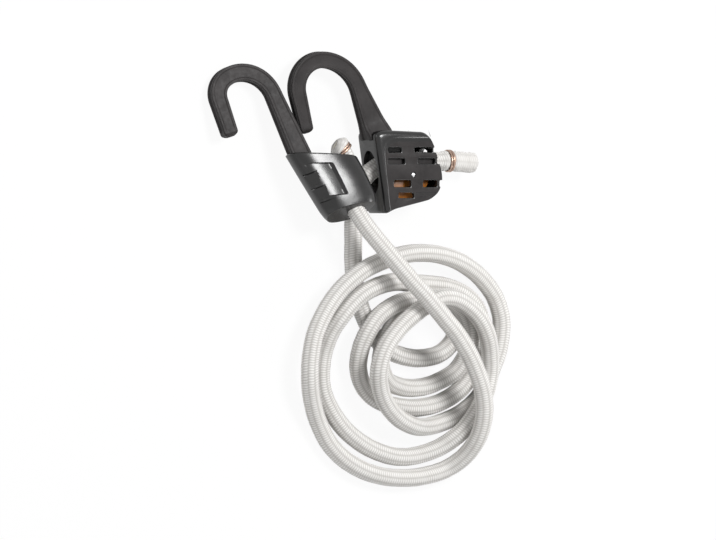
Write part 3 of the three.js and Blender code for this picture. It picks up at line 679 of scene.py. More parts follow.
def strand_ends(name, path, place, body, spread_to):
    ahead, across, other = (d[0] for d in frames_along(path))
    vertices, faces = [], []
    for row in range(-STRAND_ROWS, STRAND_ROWS + 1):
        for k in range(-STRAND_ROWS, STRAND_ROWS + 1):
            x = (k + row / 2) * STRAND_SPACING
            y = row * STRAND_SPACING * math.sqrt(3) / 2
            if math.hypot(x, y) > spread_to:
                continue
            spot = Vector((x * STRAND_GRAIN, y * STRAND_GRAIN, STRAND_GRAIN_LEVEL))
            reach = STRAND_REACH + STRAND_UNEVEN * noise.noise(spot)
            sizes = [(1, -STRAND_BELOW)] + [(size, share * reach) for size, share in STRAND_END_SHARES]
            start = len(vertices)
            for size, out in sizes:
                centre = path[0] + ahead * (END_RECESS - out) + across * x + other * y
                radius = STRAND_RADIUS * size
                vertices += ring_round(centre, across * radius, other * radius, STRAND_SIDES)
            faces += [(a, d, c, b) for a, b, c, d in tube_faces(len(sizes), STRAND_SIDES, start)]
            faces.append(tuple(range(start, start + STRAND_SIDES)))
            faces.append(tuple(reversed(range(len(vertices) - STRAND_SIDES, len(vertices)))))
    piece = finish_surface(piece_from(name, vertices, faces, place), sharp_angle=50)
    dress(piece, latex, body, "cord_braid")


strand_ends("tail_strands", free_path, LAYOUT, "cord", TAIL_END["strands"])
strand_ends("folded_end_strands", folded_path, HOOK, "fixed_end", FOLDED_END["strands"])

# Hog rings of flattened wire, closed round the cord with their ends side by side
WIRE_WIDTH = 1.25
WIRE_THICK = 0.85
WIRE_SPACING = 1.32
WIRE_TURNS = 1.8
WIRE_STEPS = 72
WIRE_END_SHARES = (0.45, 0.8, 1)  # of its width and thickness, from its end on
TAIL_RING_FACING = Vector((-0.4, 0, 0.9))  # where its two turns show, away from its ends
FOLDED_RING_FACING = Vector((0, 0.3, 1))


def wire_tube(name, centres, wide, thick, place, outs=None, sides=14):
    """A flat wire through the centres, with its thickness the way the outs point, or else upright."""
    aheads = [(b - a).normalized() for a, b in zip(centres, centres[1:])]
    aheads.append(aheads[-1])
    outs = outs or [UP.cross(way).cross(way).normalized() for way in aheads]
    rings = []
    for k, (centre, way, out) in enumerate(zip(centres, aheads, outs)):
        flat = way.cross(out).normalized()
        half = WIRE_END_SHARES[min(k, len(centres) - 1 - k, len(WIRE_END_SHARES) - 1)] / 2
        rings.append(ring_round(centre, flat * (wide * half), out * (thick * half), sides))
    return finish_surface(loft(name, rings, place), sharp_angle=50)


def hog_wire(name, centre, axis, facing, place):
    axis = axis.normalized()
    first = (facing - axis * facing.dot(axis)).normalized()
    second = axis.cross(first)
    radius = CORD_RADIUS + GAP + WIRE_THICK / 2
    centres, outs = [], []
    for step in range(WIRE_STEPS + 1):
        share = step / WIRE_STEPS - 0.5
        angle = share * WIRE_TURNS * 2 * math.pi + math.pi
        out = first * math.cos(angle) + second * math.sin(angle)
        eased = min(max(share * 2 + 0.5, 0), 1)
        aside = (eased * eased * (3 - 2 * eased) - 0.5) * WIRE_SPACING
        centres.append(centre + out * radius + axis * aside)
        outs.append(out)
    return wire_tube(name, centres, WIRE_WIDTH, WIRE_THICK, place, outs)


def ring_place(path, place, node):
    """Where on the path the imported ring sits, and the way the cord runs there."""
    low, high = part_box(node)
    middle = place.inverted() @ ((low + high) / 2)
    nearest = int(np.argmin(np.linalg.norm(path - np.array(middle), axis=1)))
    nearest = min(max(nearest, 2), len(path) - 3)
    return Vector(path[nearest]), Vector(path[nearest + 2] - path[nearest - 2])


tail_at, tail_way = ring_place(free_path, LAYOUT, "tail_ring")
tail_wire = hog_wire("tail_hog_wire", tail_at, tail_way, TAIL_RING_FACING, LAYOUT)
dress(tail_wire, copper, "cord", "hog_ring", "tail_ring")
folded_at, folded_way = ring_place(collar_path, HOOK, "fixed_end_ring")
folded_wire = hog_wire("folded_end_hog_wire", folded_at, folded_way, FOLDED_RING_FACING, HOOK)
dress(folded_wire, copper, "fixed_end", "hog_ring", "fixed_end_ring")


# The hooks' arms: a bar with rounded edges, a shallow channel along each side, and a rim along each edge of
# its front.
CHANNEL_DEPTH = 0.55
CHANNEL_SHARES = (0.34, 0.5)  # of half the thickness: the channel's floor, and its mouth
FRONT_RIM = 1.25
FRONT_SLOPE = 0.45
FRONT_DEPTH = 0.22
FINE_EDGE = 0.25
DETAIL_RINGS = 2  # over which the channels and the rim end before the tip
NOSE_STEPS = 6
NOSE_SHARE = 0.86  # how far the tip closes before its flat end
SMOOTHING = np.array((1, 2, 3, 4, 3, 2, 1)) / 16  # weights that soften how an arm's width changes


def arm_section(width, thickness, edge, detail):
    half = width / 2
    high = thickness / 2
    edge = min(edge, half / 2, high / 2)
    floor, mouth_edge = (share * high for share in CHANNEL_SHARES)
    deep = half - CHANNEL_DEPTH * detail
    rim = half - FRONT_RIM
    right = [
        (half, -high), (half, -mouth_edge), (deep, -floor), (deep, floor), (half, mouth_edge), (half, high),
        (rim, high), (rim - FRONT_SLOPE, high - FRONT_DEPTH * detail),
    ]
    corners = right + [(-x, z) for x, z in reversed(right)]
    fine = [min(FINE_EDGE, edge / 2)] * 4
    return rounded([Vector(c) for c in corners], [edge, *fine, edge, *fine, edge, *fine, edge])


def softened(values):
    return np.convolve(np.pad(values, len(SMOOTHING) // 2, mode="edge"), SMOOTHING, mode="valid")


def arm(name, sizes, root, middle, place):
    at = root.copy()
    heading = sizes["heading"]
    width, thickness = sizes["root"]
    places, headings, widths, thicknesses = [at], [heading], [width], [thickness]
    for stretch in sizes["stretches"]:
        end_width, end_thickness = stretch["end"]
        if "turn" in stretch:
            steps = math.ceil(stretch["turn"] / ARM_TURN_STEP)
            turn = stretch["turn"] / steps
            chord = 2 * stretch["radius"] * math.sin(math.radians(turn / 2))
        else:
            steps = math.ceil(stretch["straight"] / ARM_STEP)
            turn = 0
            chord = stretch["straight"] / steps
        for step in range(1, steps + 1):
            at = at + turned(heading + turn / 2, chord)
            heading += turn
            places.append(at)
            headings.append(heading)
            widths.append(width + (end_width - width) * step / steps)
            thicknesses.append(thickness + (end_thickness - thickness) * step / steps)
        width, thickness = end_width, end_thickness
    widths, thicknesses = softened(widths), softened(thicknesses)

    def ring(centre, way, wide, thick, detail):
        side = turned(way - 90)
        section = arm_section(wide, thick, sizes["edge"], detail)
        return [Vector((*(centre - side * p.x), middle + p.y)) for p in section]

    last = len(places) - 1
    rings = [
        ring(places[k], headings[k], widths[k], thicknesses[k], min(1, (last - k) / DETAIL_RINGS))
        for k in range(last + 1)
    ]
    for step in range(1, NOSE_STEPS + 1):
        share = math.sin(step / NOSE_STEPS * math.pi / 2)
        left = math.sqrt(1 - share * share * NOSE_SHARE)
        nose = at + turned(heading, ARM_NOSE * share)
        rings.append(ring(nose, heading, widths[-1] * left, thicknesses[-1] * left, 0))
    return loft(name, rings, place)


# The adjuster: a hollow housing round the cord, whose front has a recessed panel with slots, and its arm.
HOUSING_WALL = 2.5
HOUSING_OUTLINE_SHARES = [
    (0.156, 0), (0.293, 0.065), (0.82, 0.177), (0.92, 0.246), (0.957, 0.294), (1, 0.4), (0.985, 0.53),
    (0.94, 0.647), (0.87, 0.836), (0.82, 0.918), (0.73, 0.978), (0.13, 1), (0, 0.965),
]
HOUSING_BEVELS = [1.6, 1.4, 1.2, 1.2, 1.2, 1.2, 1.2, 1.4, 1.8, 2.2, 2.6, 2.8, 3]  # of the edges, in turn
HOUSING_RISE = 2.2
HOUSING_CORNER = 2.4
PANEL_RIM = 3.2
PANEL_DEPTH = 0.8
PANEL_LEVEL = HOUSING_DEPTH - PANEL_DEPTH
PANEL_CORNER = 9
PANEL_PROFILE = [
    (0.9, 2.3, 0), (0.5, 1.3, 0.1), (0.15, 0.55, 0.34), (-0.1, 0, 0.68), (-0.45, -0.4, 0.84), (-0.9, -0.8, 1),
]  # of its wall: how far in at the left and at the top, and how high over the panel
SLOT_CORNER = 0.8
SLOT_RIM = 0.35
SLOT_WRAP = 5
RIM_STEPS = 3
THUMB_SHARES = [(0.2, 0.2), (0.23, -0.1), (0.8, -0.1), (0.8, 0.3)]
SLOT_SHARES = [
    (0.191, 0.39, 0.735, 0.797), (0.581, 0.845, 0.735, 0.797),
    (0.191, 0.441, 0.6, 0.667), (0.632, 0.885, 0.6, 0.667),
    (0.28, 0.53, 0.328, 0.41), (0.707, 0.914, 0.328, 0.41),
    (0.347, 0.573, 0.199, 0.264),
]  # left, right, low and high
EDGE_NOTCH_SHARES = [(0.862, 0.735, 0.797), (0.915, 0.6, 0.667), (0.952, 0.328, 0.41)]  # left, low and high
PAST_EDGE_SHARE = 1.1
BACK_RECESS = 1.4
GROOVE_SHARES = (0.6, 0.9, (0.205, 0.229, 0.253))  # left, right, and the heights of three fine grooves
GROOVE_WIDTH = 0.45
GROOVE_DEPTH = 0.3
WEB_OUTLINE = (3, 33.4, -2.5, 2.2)  # inside, over the cord: left, right, low and high
WEB_LEVELS = (15, 15.8)
MOUTH_SIZE = (20.4, 13)
MOUTH_CLEARANCE = 0.6
MOUTH_END_SHARE = 0.33
EXIT_SIZE = (11.6, 11.2)
EXIT_START_SHARE = 0.5
EXIT_FLARE = 0.6
PIN_HOLE_RIM = 0.15
OVAL_SIDES = 48
ROUND_SIDES = 40
ADJUSTER_ROOT_SHARES = (0.15, 0.936)


def in_housing(shares):
    return Vector((shares[0] * HOUSING_LENGTH, shares[1] * HOUSING_HEIGHT - HOUSING_BELOW))


def panel_cutter(outline):
    """The recessed panel, with a sloping wall at its left and its top, open at the right and below."""
    edge = inset(outline, PANEL_RIM)
    left, low = edge[0].x, -HOUSING_BELOW - OVERRUN
    right, top = HOUSING_LENGTH + OVERRUN, HOUSING_ABOVE - PANEL_RIM
    corners = [Vector(p) for p in ((left, low), (right, low), (right, top), (edge[-1].x, top))]
    rings = []
    for left_in, top_in, up in PANEL_PROFILE:
        wall = rounded(inset(corners, [left_in, left_in, top_in, left_in]), PANEL_CORNER, 10)
        rings.append(at_height(wall, PANEL_LEVEL + up))
    rings.append([p + UP * OVERRUN for p in rings[-1]])
    panel = loft("panel_cutter", rings, ADJUSTER)
    panel.data.materials.append(gloss_plastic)
    panel.data.materials.append(spark_plastic)
    panel.data.polygons[-2].material_index = 1  # its floor
    return panel


def slot_cutter(outline, low):
    """A slot in the panel, whose rim is rounded outwards."""
    rings = [at_height(rounded(outline, SLOT_CORNER), low)]
    for step in range(RIM_STEPS, -1, -1):
        angle = step / RIM_STEPS * math.pi / 2
        wider = rounded(inset(outline, SLOT_RIM * (math.sin(angle) - 1)), SLOT_CORNER)
        rings.append(at_height(wider, PANEL_LEVEL - SLOT_RIM * (1 - math.cos(angle))))
    rings.append(at_height(wider, PANEL_LEVEL + OVERRUN))
    return loft("slot", rings, ADJUSTER)


def slot_cutters():
    """The slots, the shallow ones behind them, the notches in the right edge and the fine grooves."""
    cutters = []
    for sides in SLOT_SHARES:
        corners = [in_housing(s) for s in rectangle(*sides)]
        cutters.append(slot_cutter(corners, HOUSING_DEPTH / 2))
        cutters.append(prism("back_slot", rounded(corners, SLOT_CORNER), -OVERRUN, BACK_RECESS, ADJUSTER))
    for left, low, high in EDGE_NOTCH_SHARES:
        corners = [in_housing(s) for s in rectangle(left, PAST_EDGE_SHARE, low, high)]
        cutters.append(slot_cutter(corners, HOUSING_DEPTH - SLOT_WRAP))
    left, right, heights = GROOVE_SHARES
    for height in heights:
        (west, low), (east, _) = in_housing((left, height)), in_housing((right, height))
        groove = rectangle(west, east, low, low + GROOVE_WIDTH)
        cutters.append(prism("groove", groove, PANEL_LEVEL - GROOVE_DEPTH, HOUSING_DEPTH + OVERRUN, ADJUSTER))
    return cutters


def oval_cutter(name, start, stop, middle, size, flare=0):
    """An oval bore along the cord, wider by the flare where it comes out on the right."""
    stations = [(start, 0), (stop, 0)]
    if flare:
        stations = [(start, 0), (stop - OVERRUN - flare, 0), (stop - OVERRUN, flare), (stop, flare)]
    rings = []
    for x, wider in stations:
        wide, high = (s / 2 + wider for s in size)
        rings.append(ring_round(Vector((x, middle, AXIS_HEIGHT)), AHEAD * wide, UP * high, OVAL_SIDES))
    return loft(name, rings, ADJUSTER)


def pin_cutter(name, low, high, rim):
    """A round bore for the pin, wider by the rim at both ends."""
    rings = []
    for z, wider in (
        (low - OVERRUN, rim), (low, rim), (low + rim, 0), (high - rim, 0), (high, rim), (high + OVERRUN, rim),
    ):
        radius = PIN_RADIUS + GAP + wider
        rings.append(ring_round(UP * z, RIGHT * radius, AHEAD * radius, ROUND_SIDES))
    return loft(name, rings, ON_PIN)


def make_adjuster():
    outline = [in_housing(s) for s in HOUSING_OUTLINE_SHARES]
    body = moulding(
        "adjuster_moulding", outline, HOUSING_CORNER, 0, HOUSING_DEPTH, HOUSING_BEVELS, HOUSING_RISE, ADJUSTER
    )
    body.data.materials.append(gloss_plastic)
    hook_arm = arm("adjuster_arm", ADJUSTER_ARM, in_housing(ADJUSTER_ROOT_SHARES), AXIS_HEIGHT, ADJUSTER)
    hook_arm.data.materials.append(spark_plastic)
    combine(body, [hook_arm], "UNION")
    inner = rounded(inset(outline, HOUSING_WALL), HOUSING_CORNER)
    thumb = rounded([in_housing(s) for s in THUMB_SHARES], SLOT_CORNER)
    inside = (HOUSING_WALL, HOUSING_DEPTH - HOUSING_WALL)
    mouth_middle = CORD_RADIUS + MOUTH_CLEARANCE - MOUTH_SIZE[0] / 2
    mouth_end = MOUTH_END_SHARE * HOUSING_LENGTH
    exit_start = EXIT_START_SHARE * HOUSING_LENGTH
    exit_end = HOUSING_LENGTH + OVERRUN
    combine(body, [
        prism("hollow", inner, *inside, ADJUSTER),
        prism("thumb", thumb, *inside, ADJUSTER),
        panel_cutter(outline),
        *slot_cutters(),
        oval_cutter("mouth", -OVERRUN, mouth_end, mouth_middle, MOUTH_SIZE),
        oval_cutter("exit", exit_start, exit_end, 0, EXIT_SIZE, EXIT_FLARE),
        pin_cutter("pin_hole", 0, PANEL_LEVEL, PIN_HOLE_RIM),
    ], "DIFFERENCE")
    web = prism("web", rectangle(*WEB_OUTLINE), *WEB_LEVELS, ADJUSTER)
    web.data.materials.append(spark_plastic)
    combine(body, [web], "UNION")
    dress(finish_surface(body), None, "adjuster", "hook_plastic", "adjuster_hook")


make_adjuster()

# The fixed hook: a collar round the folded end of the cord, and its arm. The collar's skin runs from a
# slanted lip at its mouth to its slanted top, between a left and a right side line.
COLLAR_LEFT_SHARES = [
    (0, 0.22, 0.03), (0.04, 0.12, 0.06), (0.09, 0.045, 0.1), (0.16, -0.005, 0.17), (0.26, -0.022, 0.27),
    (1, 0.008, 0.985),
]
COLLAR_RIGHT_SHARES = [
    (0, 0.73, -0.002), (0.04, 0.82, 0.015), (0.09, 0.875, 0.06), (0.16, 0.912, 0.12), (0.5, 0.967, 0.345),
    (1, 0.992, 0.53),
]
COLLAR_HALF_KNOTS = [(0, 6.2), (0.07, 7.2), (0.15, 7.85), (0.3, 8.15), (0.45, 8.25), (0.7, 8.05), (1, 7.5)]
COLLAR_END_ROUND = 1.3
COLLAR_END_SHARE = 0.6  # of that rounding, how far both ends stand out past the skin's first and last ring
COLLAR_END_STEPS = 5
COLLAR_RINGS = 90
COLLAR_SIDES = 96
COLLAR_POWERS = (2.4, 2.9)  # how square the section is on the right and on the left
SIDE_SMOOTHING = 3  # rings either way
HALF_SMOOTHING = 4
LIP_WAY = (0.941, -0.339)  # of the seam between the front and the slanted face of the mouth
LIP_AT = (0, 2.72)
LIP_PROFILE = [
    (-14, 9.4), (-14, -9), (-6.4, -9), (-0.25, 6.65), (0.02, 7.2), (0.3, 7.65), (0.7, 8.05), (1.6, 8.6),
    (2.6, 9.4),
]  # across the seam, and upwards
LIP_LENGTH = 24
FIXED_ROOT_SHARES = (0.167, 0.795)
COLLAR_PANEL_SHARES = [(0.137, 0.376), (0.42, 0.277), (0.497, 0.657), (0.08, 0.83)]  # from the lower left on
COLLAR_PANEL_DEPTHS = (0.1, 1.6)  # along its left edge and along its right one
COLLAR_PANEL_WALLS = (1.4, 0.5)  # how wide the wall is at its right, and at its top and bottom
COLLAR_PANEL_CORNER = 1
COLLAR_PANEL_STEP = 0.8
COLLAR_PANEL_LIFT = 0.3  # of the cutter over the skin, where it is already wider
COLLAR_PANEL_WIDER_SHARE = 1.025
PANEL_FLOOR_SHARES = (0.02, 0.2, 0.4, 0.55, 0.66, 0.74, 0.8, 0.85, 0.89, 0.93, 0.97)
GRIPS = [(27.4, 1.3, 0.3), (19.6, 1.1, 0.05), (12, 0.9, 0)]  # up the left side: height, depth, and how far in
GRIP_PROFILE = [(0, -6.4), (-0.7, -0.8), (-1, -0.1), (-1, 0)]
GRIP_EDGE = Vector((-10.15, 0, 5.95))
GRIP_OUTWARDS = Vector((-0.62, 0, 0.785))
GRIP_ALONG = Vector((0.785, 0, 0.62))
GRIP_REACH = 11
GRIP_LEAN = 0.2
BORE_CLEARANCE = 0.35
BORE_RADIUS = CORD_RADIUS + BORE_CLEARANCE
BORE_STEP = 4  # points of the cord's path
FLARE_OVERLAP = 0.05
FLARE_PROFILE = [(-OVERRUN, 7.2), (0, 6.2), (0.8, 5.1), (2.4, BORE_RADIUS - FLARE_OVERLAP)]  # depth, radius
SEAT_RADIUS = CORD_RADIUS + WIRE_THICK + 2 * GAP
SEAT_WIDTH = 2.8


def smoothed(values, reach):
    """Each value averaged with its neighbours on either side."""
    padded = np.pad(values, reach, mode="reflect", reflect_type="odd")
    return np.convolve(padded, np.ones(2 * reach + 1) / (2 * reach + 1), mode="valid")


def side_line(table):
    knots, across, up = np.array(table).T
    share = np.linspace(0, 1, COLLAR_RINGS)
    across, up = (smoothed(np.interp(share, knots, values), SIDE_SMOOTHING) for values in (across, up))
    return [in_collar(p) for p in zip(across, up)]


def collar_ring(left, right, half, shrink=0.0, forward=0.0):
    across = (right - left).normalized()
    wide = (right - left).length / 2 - shrink
    middle = (left + right) / 2 + Vector((-across.y, across.x)) * forward
    points = []
    for angle in circle(COLLAR_SIDES):
        c, s = math.cos(angle), math.sin(angle)
        power = COLLAR_POWERS[0] if c > 0 else COLLAR_POWERS[1]
        x = math.copysign(abs(c) ** (2 / power), c) * wide
        z = math.copysign(abs(s) ** (2 / power), s) * (half - shrink)
        points.append(Vector((*(middle + across * x), z)))
    return points


def collar_rings():
    """The collar's skin from its mouth to its top, with both ends rounded."""
    knots, halves = np.array(COLLAR_HALF_KNOTS).T
    halves = smoothed(np.interp(np.linspace(0, 1, COLLAR_RINGS), knots, halves), HALF_SMOOTHING)
    sections = list(zip(side_line(COLLAR_LEFT_SHARES), side_line(COLLAR_RIGHT_SHARES), halves))
    low_end, high_end = [], []
    for step in range(COLLAR_END_STEPS + 1):
        angle = step / COLLAR_END_STEPS * math.pi / 2
        low = COLLAR_END_ROUND * math.cos(angle) * COLLAR_END_SHARE
        low_end.append(collar_ring(*sections[0], COLLAR_END_ROUND * (1 - math.sin(angle)), -low))
        high = COLLAR_END_ROUND * (math.sin(angle) - 1 + COLLAR_END_SHARE)
        high_end.append(collar_ring(*sections[-1], COLLAR_END_ROUND * (1 - math.cos(angle)), high))
    return low_end[:-1] + [collar_ring(*sizes) for sizes in sections] + high_end[1:]


def skin_over(rings):
    """Tells how high the skin over the rings is at a point."""
    tree = BVHTree.FromPolygons([p for ring in rings for p in ring], tube_faces(len(rings), len(rings[0])))

    def height(p):
        hit = tree.ray_cast(Vector((p.x, p.y, COLLAR_HALF + OVERRUN)), Vector((0, 0, -1)))[0]
        return hit.z if hit else 0.0

    return height


def resampled(outline, spacing):
    result = []
    for a, b in zip(outline, outline[1:] + outline[:1]):
        pieces = max(1, math.ceil((b - a).length / spacing))
        result += [a.lerp(b, k / pieces) for k in range(pieces)]
    return result


def collar_panel_cutter(skin):
    """The panel in the collar's front: its floor leaves the skin at the left and lies deeper to the right."""
    corners = [in_collar(s) for s in COLLAR_PANEL_SHARES]
    low_left, low_right, top_right, top_left = corners

    def from_line(p, a, b):
        return abs(cross(b - a, p - a)) / (b - a).length

    def floor(p):
        left = from_line(p, top_left, low_left)
        right = from_line(p, top_right, low_right)
        end = min(from_line(p, top_left, top_right), from_line(p, low_left, low_right))
        shallow, deep = COLLAR_PANEL_DEPTHS
        right_wall, end_wall = COLLAR_PANEL_WALLS
        wall = min(1, right / right_wall) * min(1, end / end_wall)
        return skin(p) - (shallow + (deep - shallow) * left / (left + right)) * wall

    edge = resampled(rounded(corners, COLLAR_PANEL_CORNER), COLLAR_PANEL_STEP)
    centre = sum(corners, Vector((0, 0))) / 4
    wider = [centre.lerp(p, COLLAR_PANEL_WIDER_SHARE) for p in edge]
    rings = []
    for share in PANEL_FLOOR_SHARES:
        inner = [centre.lerp(p, share) for p in edge]
        rings.append([Vector((*p, floor(p))) for p in inner])
    rings.append([Vector((*p, skin(p))) for p in edge])
    rings.append([Vector((*w, skin(p) + COLLAR_PANEL_LIFT)) for w, p in zip(wider, edge)])
    rings.append(at_height(wider, COLLAR_HALF + OVERRUN))
    return loft("collar_panel", rings, HOOK)


def lip_cutter():
    """What the slanted face of the mouth cuts off the collar."""
    way = Vector((*LIP_WAY, 0))
    across = Vector((-LIP_WAY[1], LIP_WAY[0], 0))
    rings = []
    for reach in (-LIP_LENGTH, LIP_LENGTH):
        middle = Vector((*LIP_AT, 0)) + way * reach
        rings.append([middle + across * n + Vector((0, 0, z)) for n, z in LIP_PROFILE])
    return loft("lip_cutter", rings, HOOK)


def grip_cutter(top, depth, further_in):
    """A wedge that leaves a ledge at its top, across the left edge of the collar's front."""
    corner = GRIP_EDGE - GRIP_OUTWARDS * further_in
    profile = [(out * depth, y) for out, y in GRIP_PROFILE]
    profile += [(OVERRUN, profile[-1][1]), (OVERRUN, profile[0][1])]
    rings = []
    for reach in (-GRIP_REACH, GRIP_REACH):
        end = corner + GRIP_ALONG * reach + Vector((0, top - GRIP_LEAN * reach, 0))
        rings.append([end + GRIP_OUTWARDS * out + Vector((0, y, 0)) for out, y in profile])
    return loft("grip", rings, HOOK)


def bore_cutter():
    """The cord's bore, on past both ends of its path in the collar."""
    way = collar_path[-1] - collar_path[-4]
    before = collar_path[0] - (0, OVERRUN, 0)
    after = collar_path[-1] + way / np.linalg.norm(way) * OVERRUN
    path = np.vstack([before, collar_path[::BORE_STEP], after])
    _, across, other = frames_along(path)
    across, other = across * BORE_RADIUS, other * BORE_RADIUS
    rings = [ring_round(*places, ROUND_SIDES) for places in zip(path, across, other)]
    return loft("bore", rings, HOOK)


def flare_cutter():
    centre = Vector((mouth.x, -COLLAR_BELOW, mouth.z))
    rings = [
        ring_round(centre + AHEAD * deep, RIGHT * radius, UP * radius, ROUND_SIDES)
        for deep, radius in FLARE_PROFILE
    ]
    return loft("flare", rings, HOOK)


def ring_seat_cutter():
    """The seat for the hog ring in the collar's top, open behind it."""
    way = folded_way.normalized()
    across = Vector((way.y, -way.x, 0)).normalized() * SEAT_RADIUS
    rings = [
        ring_round(folded_at + way * reach, across, way.cross(across), OVAL_SIDES)
        for reach in (-SEAT_WIDTH / 2 - GAP, COLLAR_HALF * 2)
    ]
    return loft("ring_seat", rings, HOOK)


def make_fixed_hook():
    collar = collar_rings()
    body = loft("fixed_hook_moulding", collar, HOOK)
    body.data.materials.append(gloss_plastic)
    hook_arm = arm("fixed_arm", FIXED_ARM, in_collar(FIXED_ROOT_SHARES), 0, HOOK)
    hook_arm.data.materials.append(spark_plastic)
    combine(body, [hook_arm], "UNION")
    cutters = [bore_cutter(), ring_seat_cutter(), lip_cutter(), flare_cutter()]
    cutters.append(collar_panel_cutter(skin_over(collar)))
    combine(body, cutters + [grip_cutter(*sizes) for sizes in GRIPS], "DIFFERENCE")
    dress(finish_surface(body), None, "fixed_end", "hook_plastic", "fixed_hook")


make_fixed_hook()

# The cam, its pin and its spring
CAM_REACH = 11.5
CAM_LEVER = 13.5
CAM_TOOTH = 0.8
CAM_PITCH = 1.7
CAM_TEETH = 5
CAM_LOW = 4.6
CAM_HIGH = 13.2
CAM_BEVEL = 0.22
CAM_CORNER = 0.25
CAM_BORE_RIM = 0.2
CAM_BODY_ANGLES = (-2, -25, -50, -75, -98)
CAM_LEVER_ANGLES = (-104, -114, -125)
CAM_TOE_ANGLE = -153
CAM_TOE_SHARE = 0.875  # of its reach
NOTCH_ANGLES = range(-126, -102, 4)  # of the grip on the lever's end
NOTCH_HALF = 0.3
NOTCH_DEPTH = 0.55
NOTCH_OUT = 0.25
PIN_LOW_END = [(0, 0.72), (0.12, 0.92), (0.3, 1)]  # height, and share of its radius
PIN_HIGH_END = [(-0.3, 1), (-0.12, 0.92), (-0.02, 0.7), (0, 0.3)]
PIN_SIDES = 36
SPRING_WIRE = 0.5
SPRING_RADIUS = 1.9
SPRING_TURNS = 2.25
SPRING_LEG = 5
SPRING_LEG_SHARES = (1, 0.99, 0.5)
SPRING_STEPS = 64


def make_cam():
    outline = [Vector((-CAM_HUB / 2, CAM_HUB))]
    for tooth in range(CAM_TEETH):
        left = CAM_HUB + tooth * CAM_PITCH
        outline += [Vector((left, CAM_HUB)), Vector((left, CAM_HUB - CAM_TOOTH))]
    outline.append(Vector((CAM_HUB + CAM_TEETH * CAM_PITCH, CAM_HUB)))
    outline += [turned(angle, CAM_REACH) for angle in CAM_BODY_ANGLES]
    outline += [turned(angle, CAM_LEVER) for angle in CAM_LEVER_ANGLES]
    outline += [turned(CAM_TOE_ANGLE, CAM_TOE_SHARE * CAM_REACH), Vector((-CAM_HUB, CAM_HUB / 3))]
    bevels = [CAM_BEVEL] * len(outline)
    outline.reverse()
    cam = moulding("amber_cam", outline, CAM_CORNER, CAM_LOW, CAM_HIGH, bevels, CAM_BEVEL, ON_PIN, steps=2)
    cam.data.materials.append(amber)
    cutters = [pin_cutter("cam_bore", CAM_LOW, CAM_HIGH, CAM_BORE_RIM)]
    for angle in NOTCH_ANGLES:
        way = turned(angle)
        side = turned(angle + 90) * NOTCH_HALF
        middle = way * (CAM_LEVER + NOTCH_OUT)
        notch = [middle - side, middle - way * NOTCH_DEPTH, middle + side, middle + way]
        cutters.append(prism("lever_notch", notch, CAM_LOW - OVERRUN, CAM_HIGH + OVERRUN, ON_PIN))
    combine(cam, cutters, "DIFFERENCE")
    dress(finish_surface(cam), amber, "cam", "cam_plastic", "adjuster_cam")


def make_pin():
    levels = [(pin_low.z / MM + up, share) for up, share in PIN_LOW_END]
    levels += [(pin_high.z / MM + up, share) for up, share in PIN_HIGH_END]
    rings = [
        ring_round(UP * z, RIGHT * (share * PIN_RADIUS), AHEAD * (share * PIN_RADIUS), PIN_SIDES)
        for z, share in levels
    ]
    pin = finish_surface(loft("steel_pin", rings, ON_PIN), sharp_angle=50)
    dress(pin, steel, "adjuster", "bright_steel", "cam_pin")


def make_spring():
    low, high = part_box("cam_spring")
    low, high = low.z / MM + SPRING_WIRE / 2, high.z / MM - SPRING_WIRE / 2
    coil = []
    for step in range(SPRING_STEPS + 1):
        share = step / SPRING_STEPS
        coil.append(Vector((*turned(share * SPRING_TURNS * 360, SPRING_RADIUS), low + (high - low) * share)))
    legs = []
    for end, before in ((coil[0], coil[1]), (coil[-1], coil[-2])):
        way = ((end - before) * Vector((1, 1, 0))).normalized()
        legs.append([end + way * SPRING_LEG * share for share in SPRING_LEG_SHARES])
    points = legs[0] + coil + legs[1][::-1]
    spring = wire_tube("torsion_spring", points, SPRING_WIRE, SPRING_WIRE, ON_PIN, sides=12)
    dress(spring, steel, "adjuster", "bright_steel", "cam_spring")


make_cam()
make_pin()
make_spring()

# The floor and the light: a white ground that keeps a soft shadow, one large soft lamp from behind on the
# right, and weaker ones round about.
FLOOR_SIZE = 2.4
FLOOR_DROP = 0.1
FLOOR_GLOW = 0.93  # how much of the floor is plain white to the camera, the rest being shaded
WORLD_LIGHT = 0.36
LAMP_TARGET = offset + Vector((0.03, -0.05, 0.01))
LAMPS = {
    "softbox": {"direction": (0.19, 0.36, 0.91), "distance": 1.1, "size": 0.38, "watts": 10.6},
    "left_side": {"direction": (-0.9, 0.3, 0.3), "distance": 1.2, "size": 0.26, "watts": 2},
    "right_side": {"direction": (0.87, 0.1, 0.5), "distance": 1.2, "size": 0.25, "watts": 1.6},
    "front_fill": {"direction": (-0.7, -0.7, 0.7), "distance": 1.4, "size": 0.8, "watts": 1},
    "low_front": {"direction": (0.5, -0.75, 0.43), "distance": 1.2, "size": 0.3, "watts": 2},
}


def larger(tree, one, other):
    return add(tree, "ShaderNodeMath", {0: one, 1: other}, operation="MAXIMUM").outputs[0]


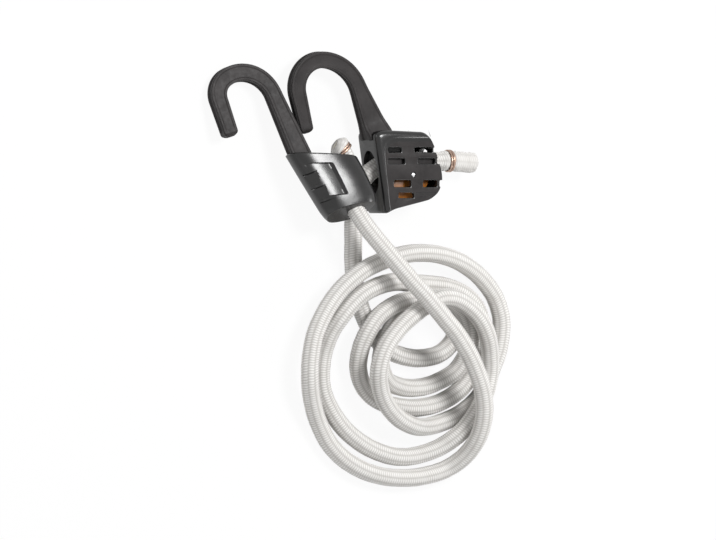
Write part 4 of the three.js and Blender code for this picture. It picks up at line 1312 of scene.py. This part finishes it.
def seen_directly(tree):
    """1 where the camera, a reflection or a transmission looks, and 0 for the light that falls on things."""
    ray = add(tree, "ShaderNodeLightPath").outputs
    return larger(tree, larger(tree, ray["Is Camera Ray"], ray["Is Glossy Ray"]), ray["Is Transmission Ray"])


def make_floor():
    half = FLOOR_SIZE / 2 / MM
    corners = at_height(rectangle(-half, half, -half, half), -FLOOR_DROP)
    floor = piece_from("floor", corners, [(0, 1, 2, 3)], LAYOUT)
    material = bpy.data.materials.new("white_floor")
    material.use_nodes = True
    tree = material.node_tree
    tree.nodes.remove(tree.nodes["Principled BSDF"])
    shaded = add(tree, "ShaderNodeBsdfDiffuse", {"Color": (0.85, 0.85, 0.85, 1)})
    white = add(tree, "ShaderNodeEmission", {"Color": (1, 1, 1, 1), "Strength": 1})
    share = add(tree, "ShaderNodeMath", {0: seen_directly(tree), 1: FLOOR_GLOW}, operation="MULTIPLY")
    mixed = add(tree, "ShaderNodeMixShader", {0: share.outputs[0], 1: shaded.outputs[0], 2: white.outputs[0]})
    tree.links.new(mixed.outputs[0], tree.nodes["Material Output"].inputs["Surface"])
    floor.data.materials.append(material)


def make_world():
    world = bpy.data.worlds.new("studio")
    world.use_nodes = True
    tree = world.node_tree
    background = tree.nodes["Background"]
    light = add(tree, "ShaderNodeBackground", {"Color": (1, 1, 1, 1), "Strength": WORLD_LIGHT})
    background.inputs["Color"].default_value = (1, 1, 1, 1)
    background.inputs["Strength"].default_value = 1
    inputs = {0: seen_directly(tree), 1: light.outputs[0], 2: background.outputs[0]}
    mixed = add(tree, "ShaderNodeMixShader", inputs)
    tree.links.new(mixed.outputs[0], tree.nodes["World Output"].inputs["Surface"])
    bpy.context.scene.world = world


def lamp(name, direction, distance, size, watts):
    data = bpy.data.lights.new(name, "AREA")
    data.shape = "DISK"
    data.size = size
    data.energy = watts
    light = bpy.data.objects.new(name, data)
    light.location = LAMP_TARGET + Vector(direction).normalized() * distance
    light.rotation_euler = (LAMP_TARGET - light.location).to_track_quat("-Z", "Y").to_euler()
    bpy.context.scene.collection.objects.link(light)


make_floor()
make_world()
for name, sizes in LAMPS.items():
    lamp(name, **sizes)

bpy.context.scene.view_settings.view_transform = "Standard"
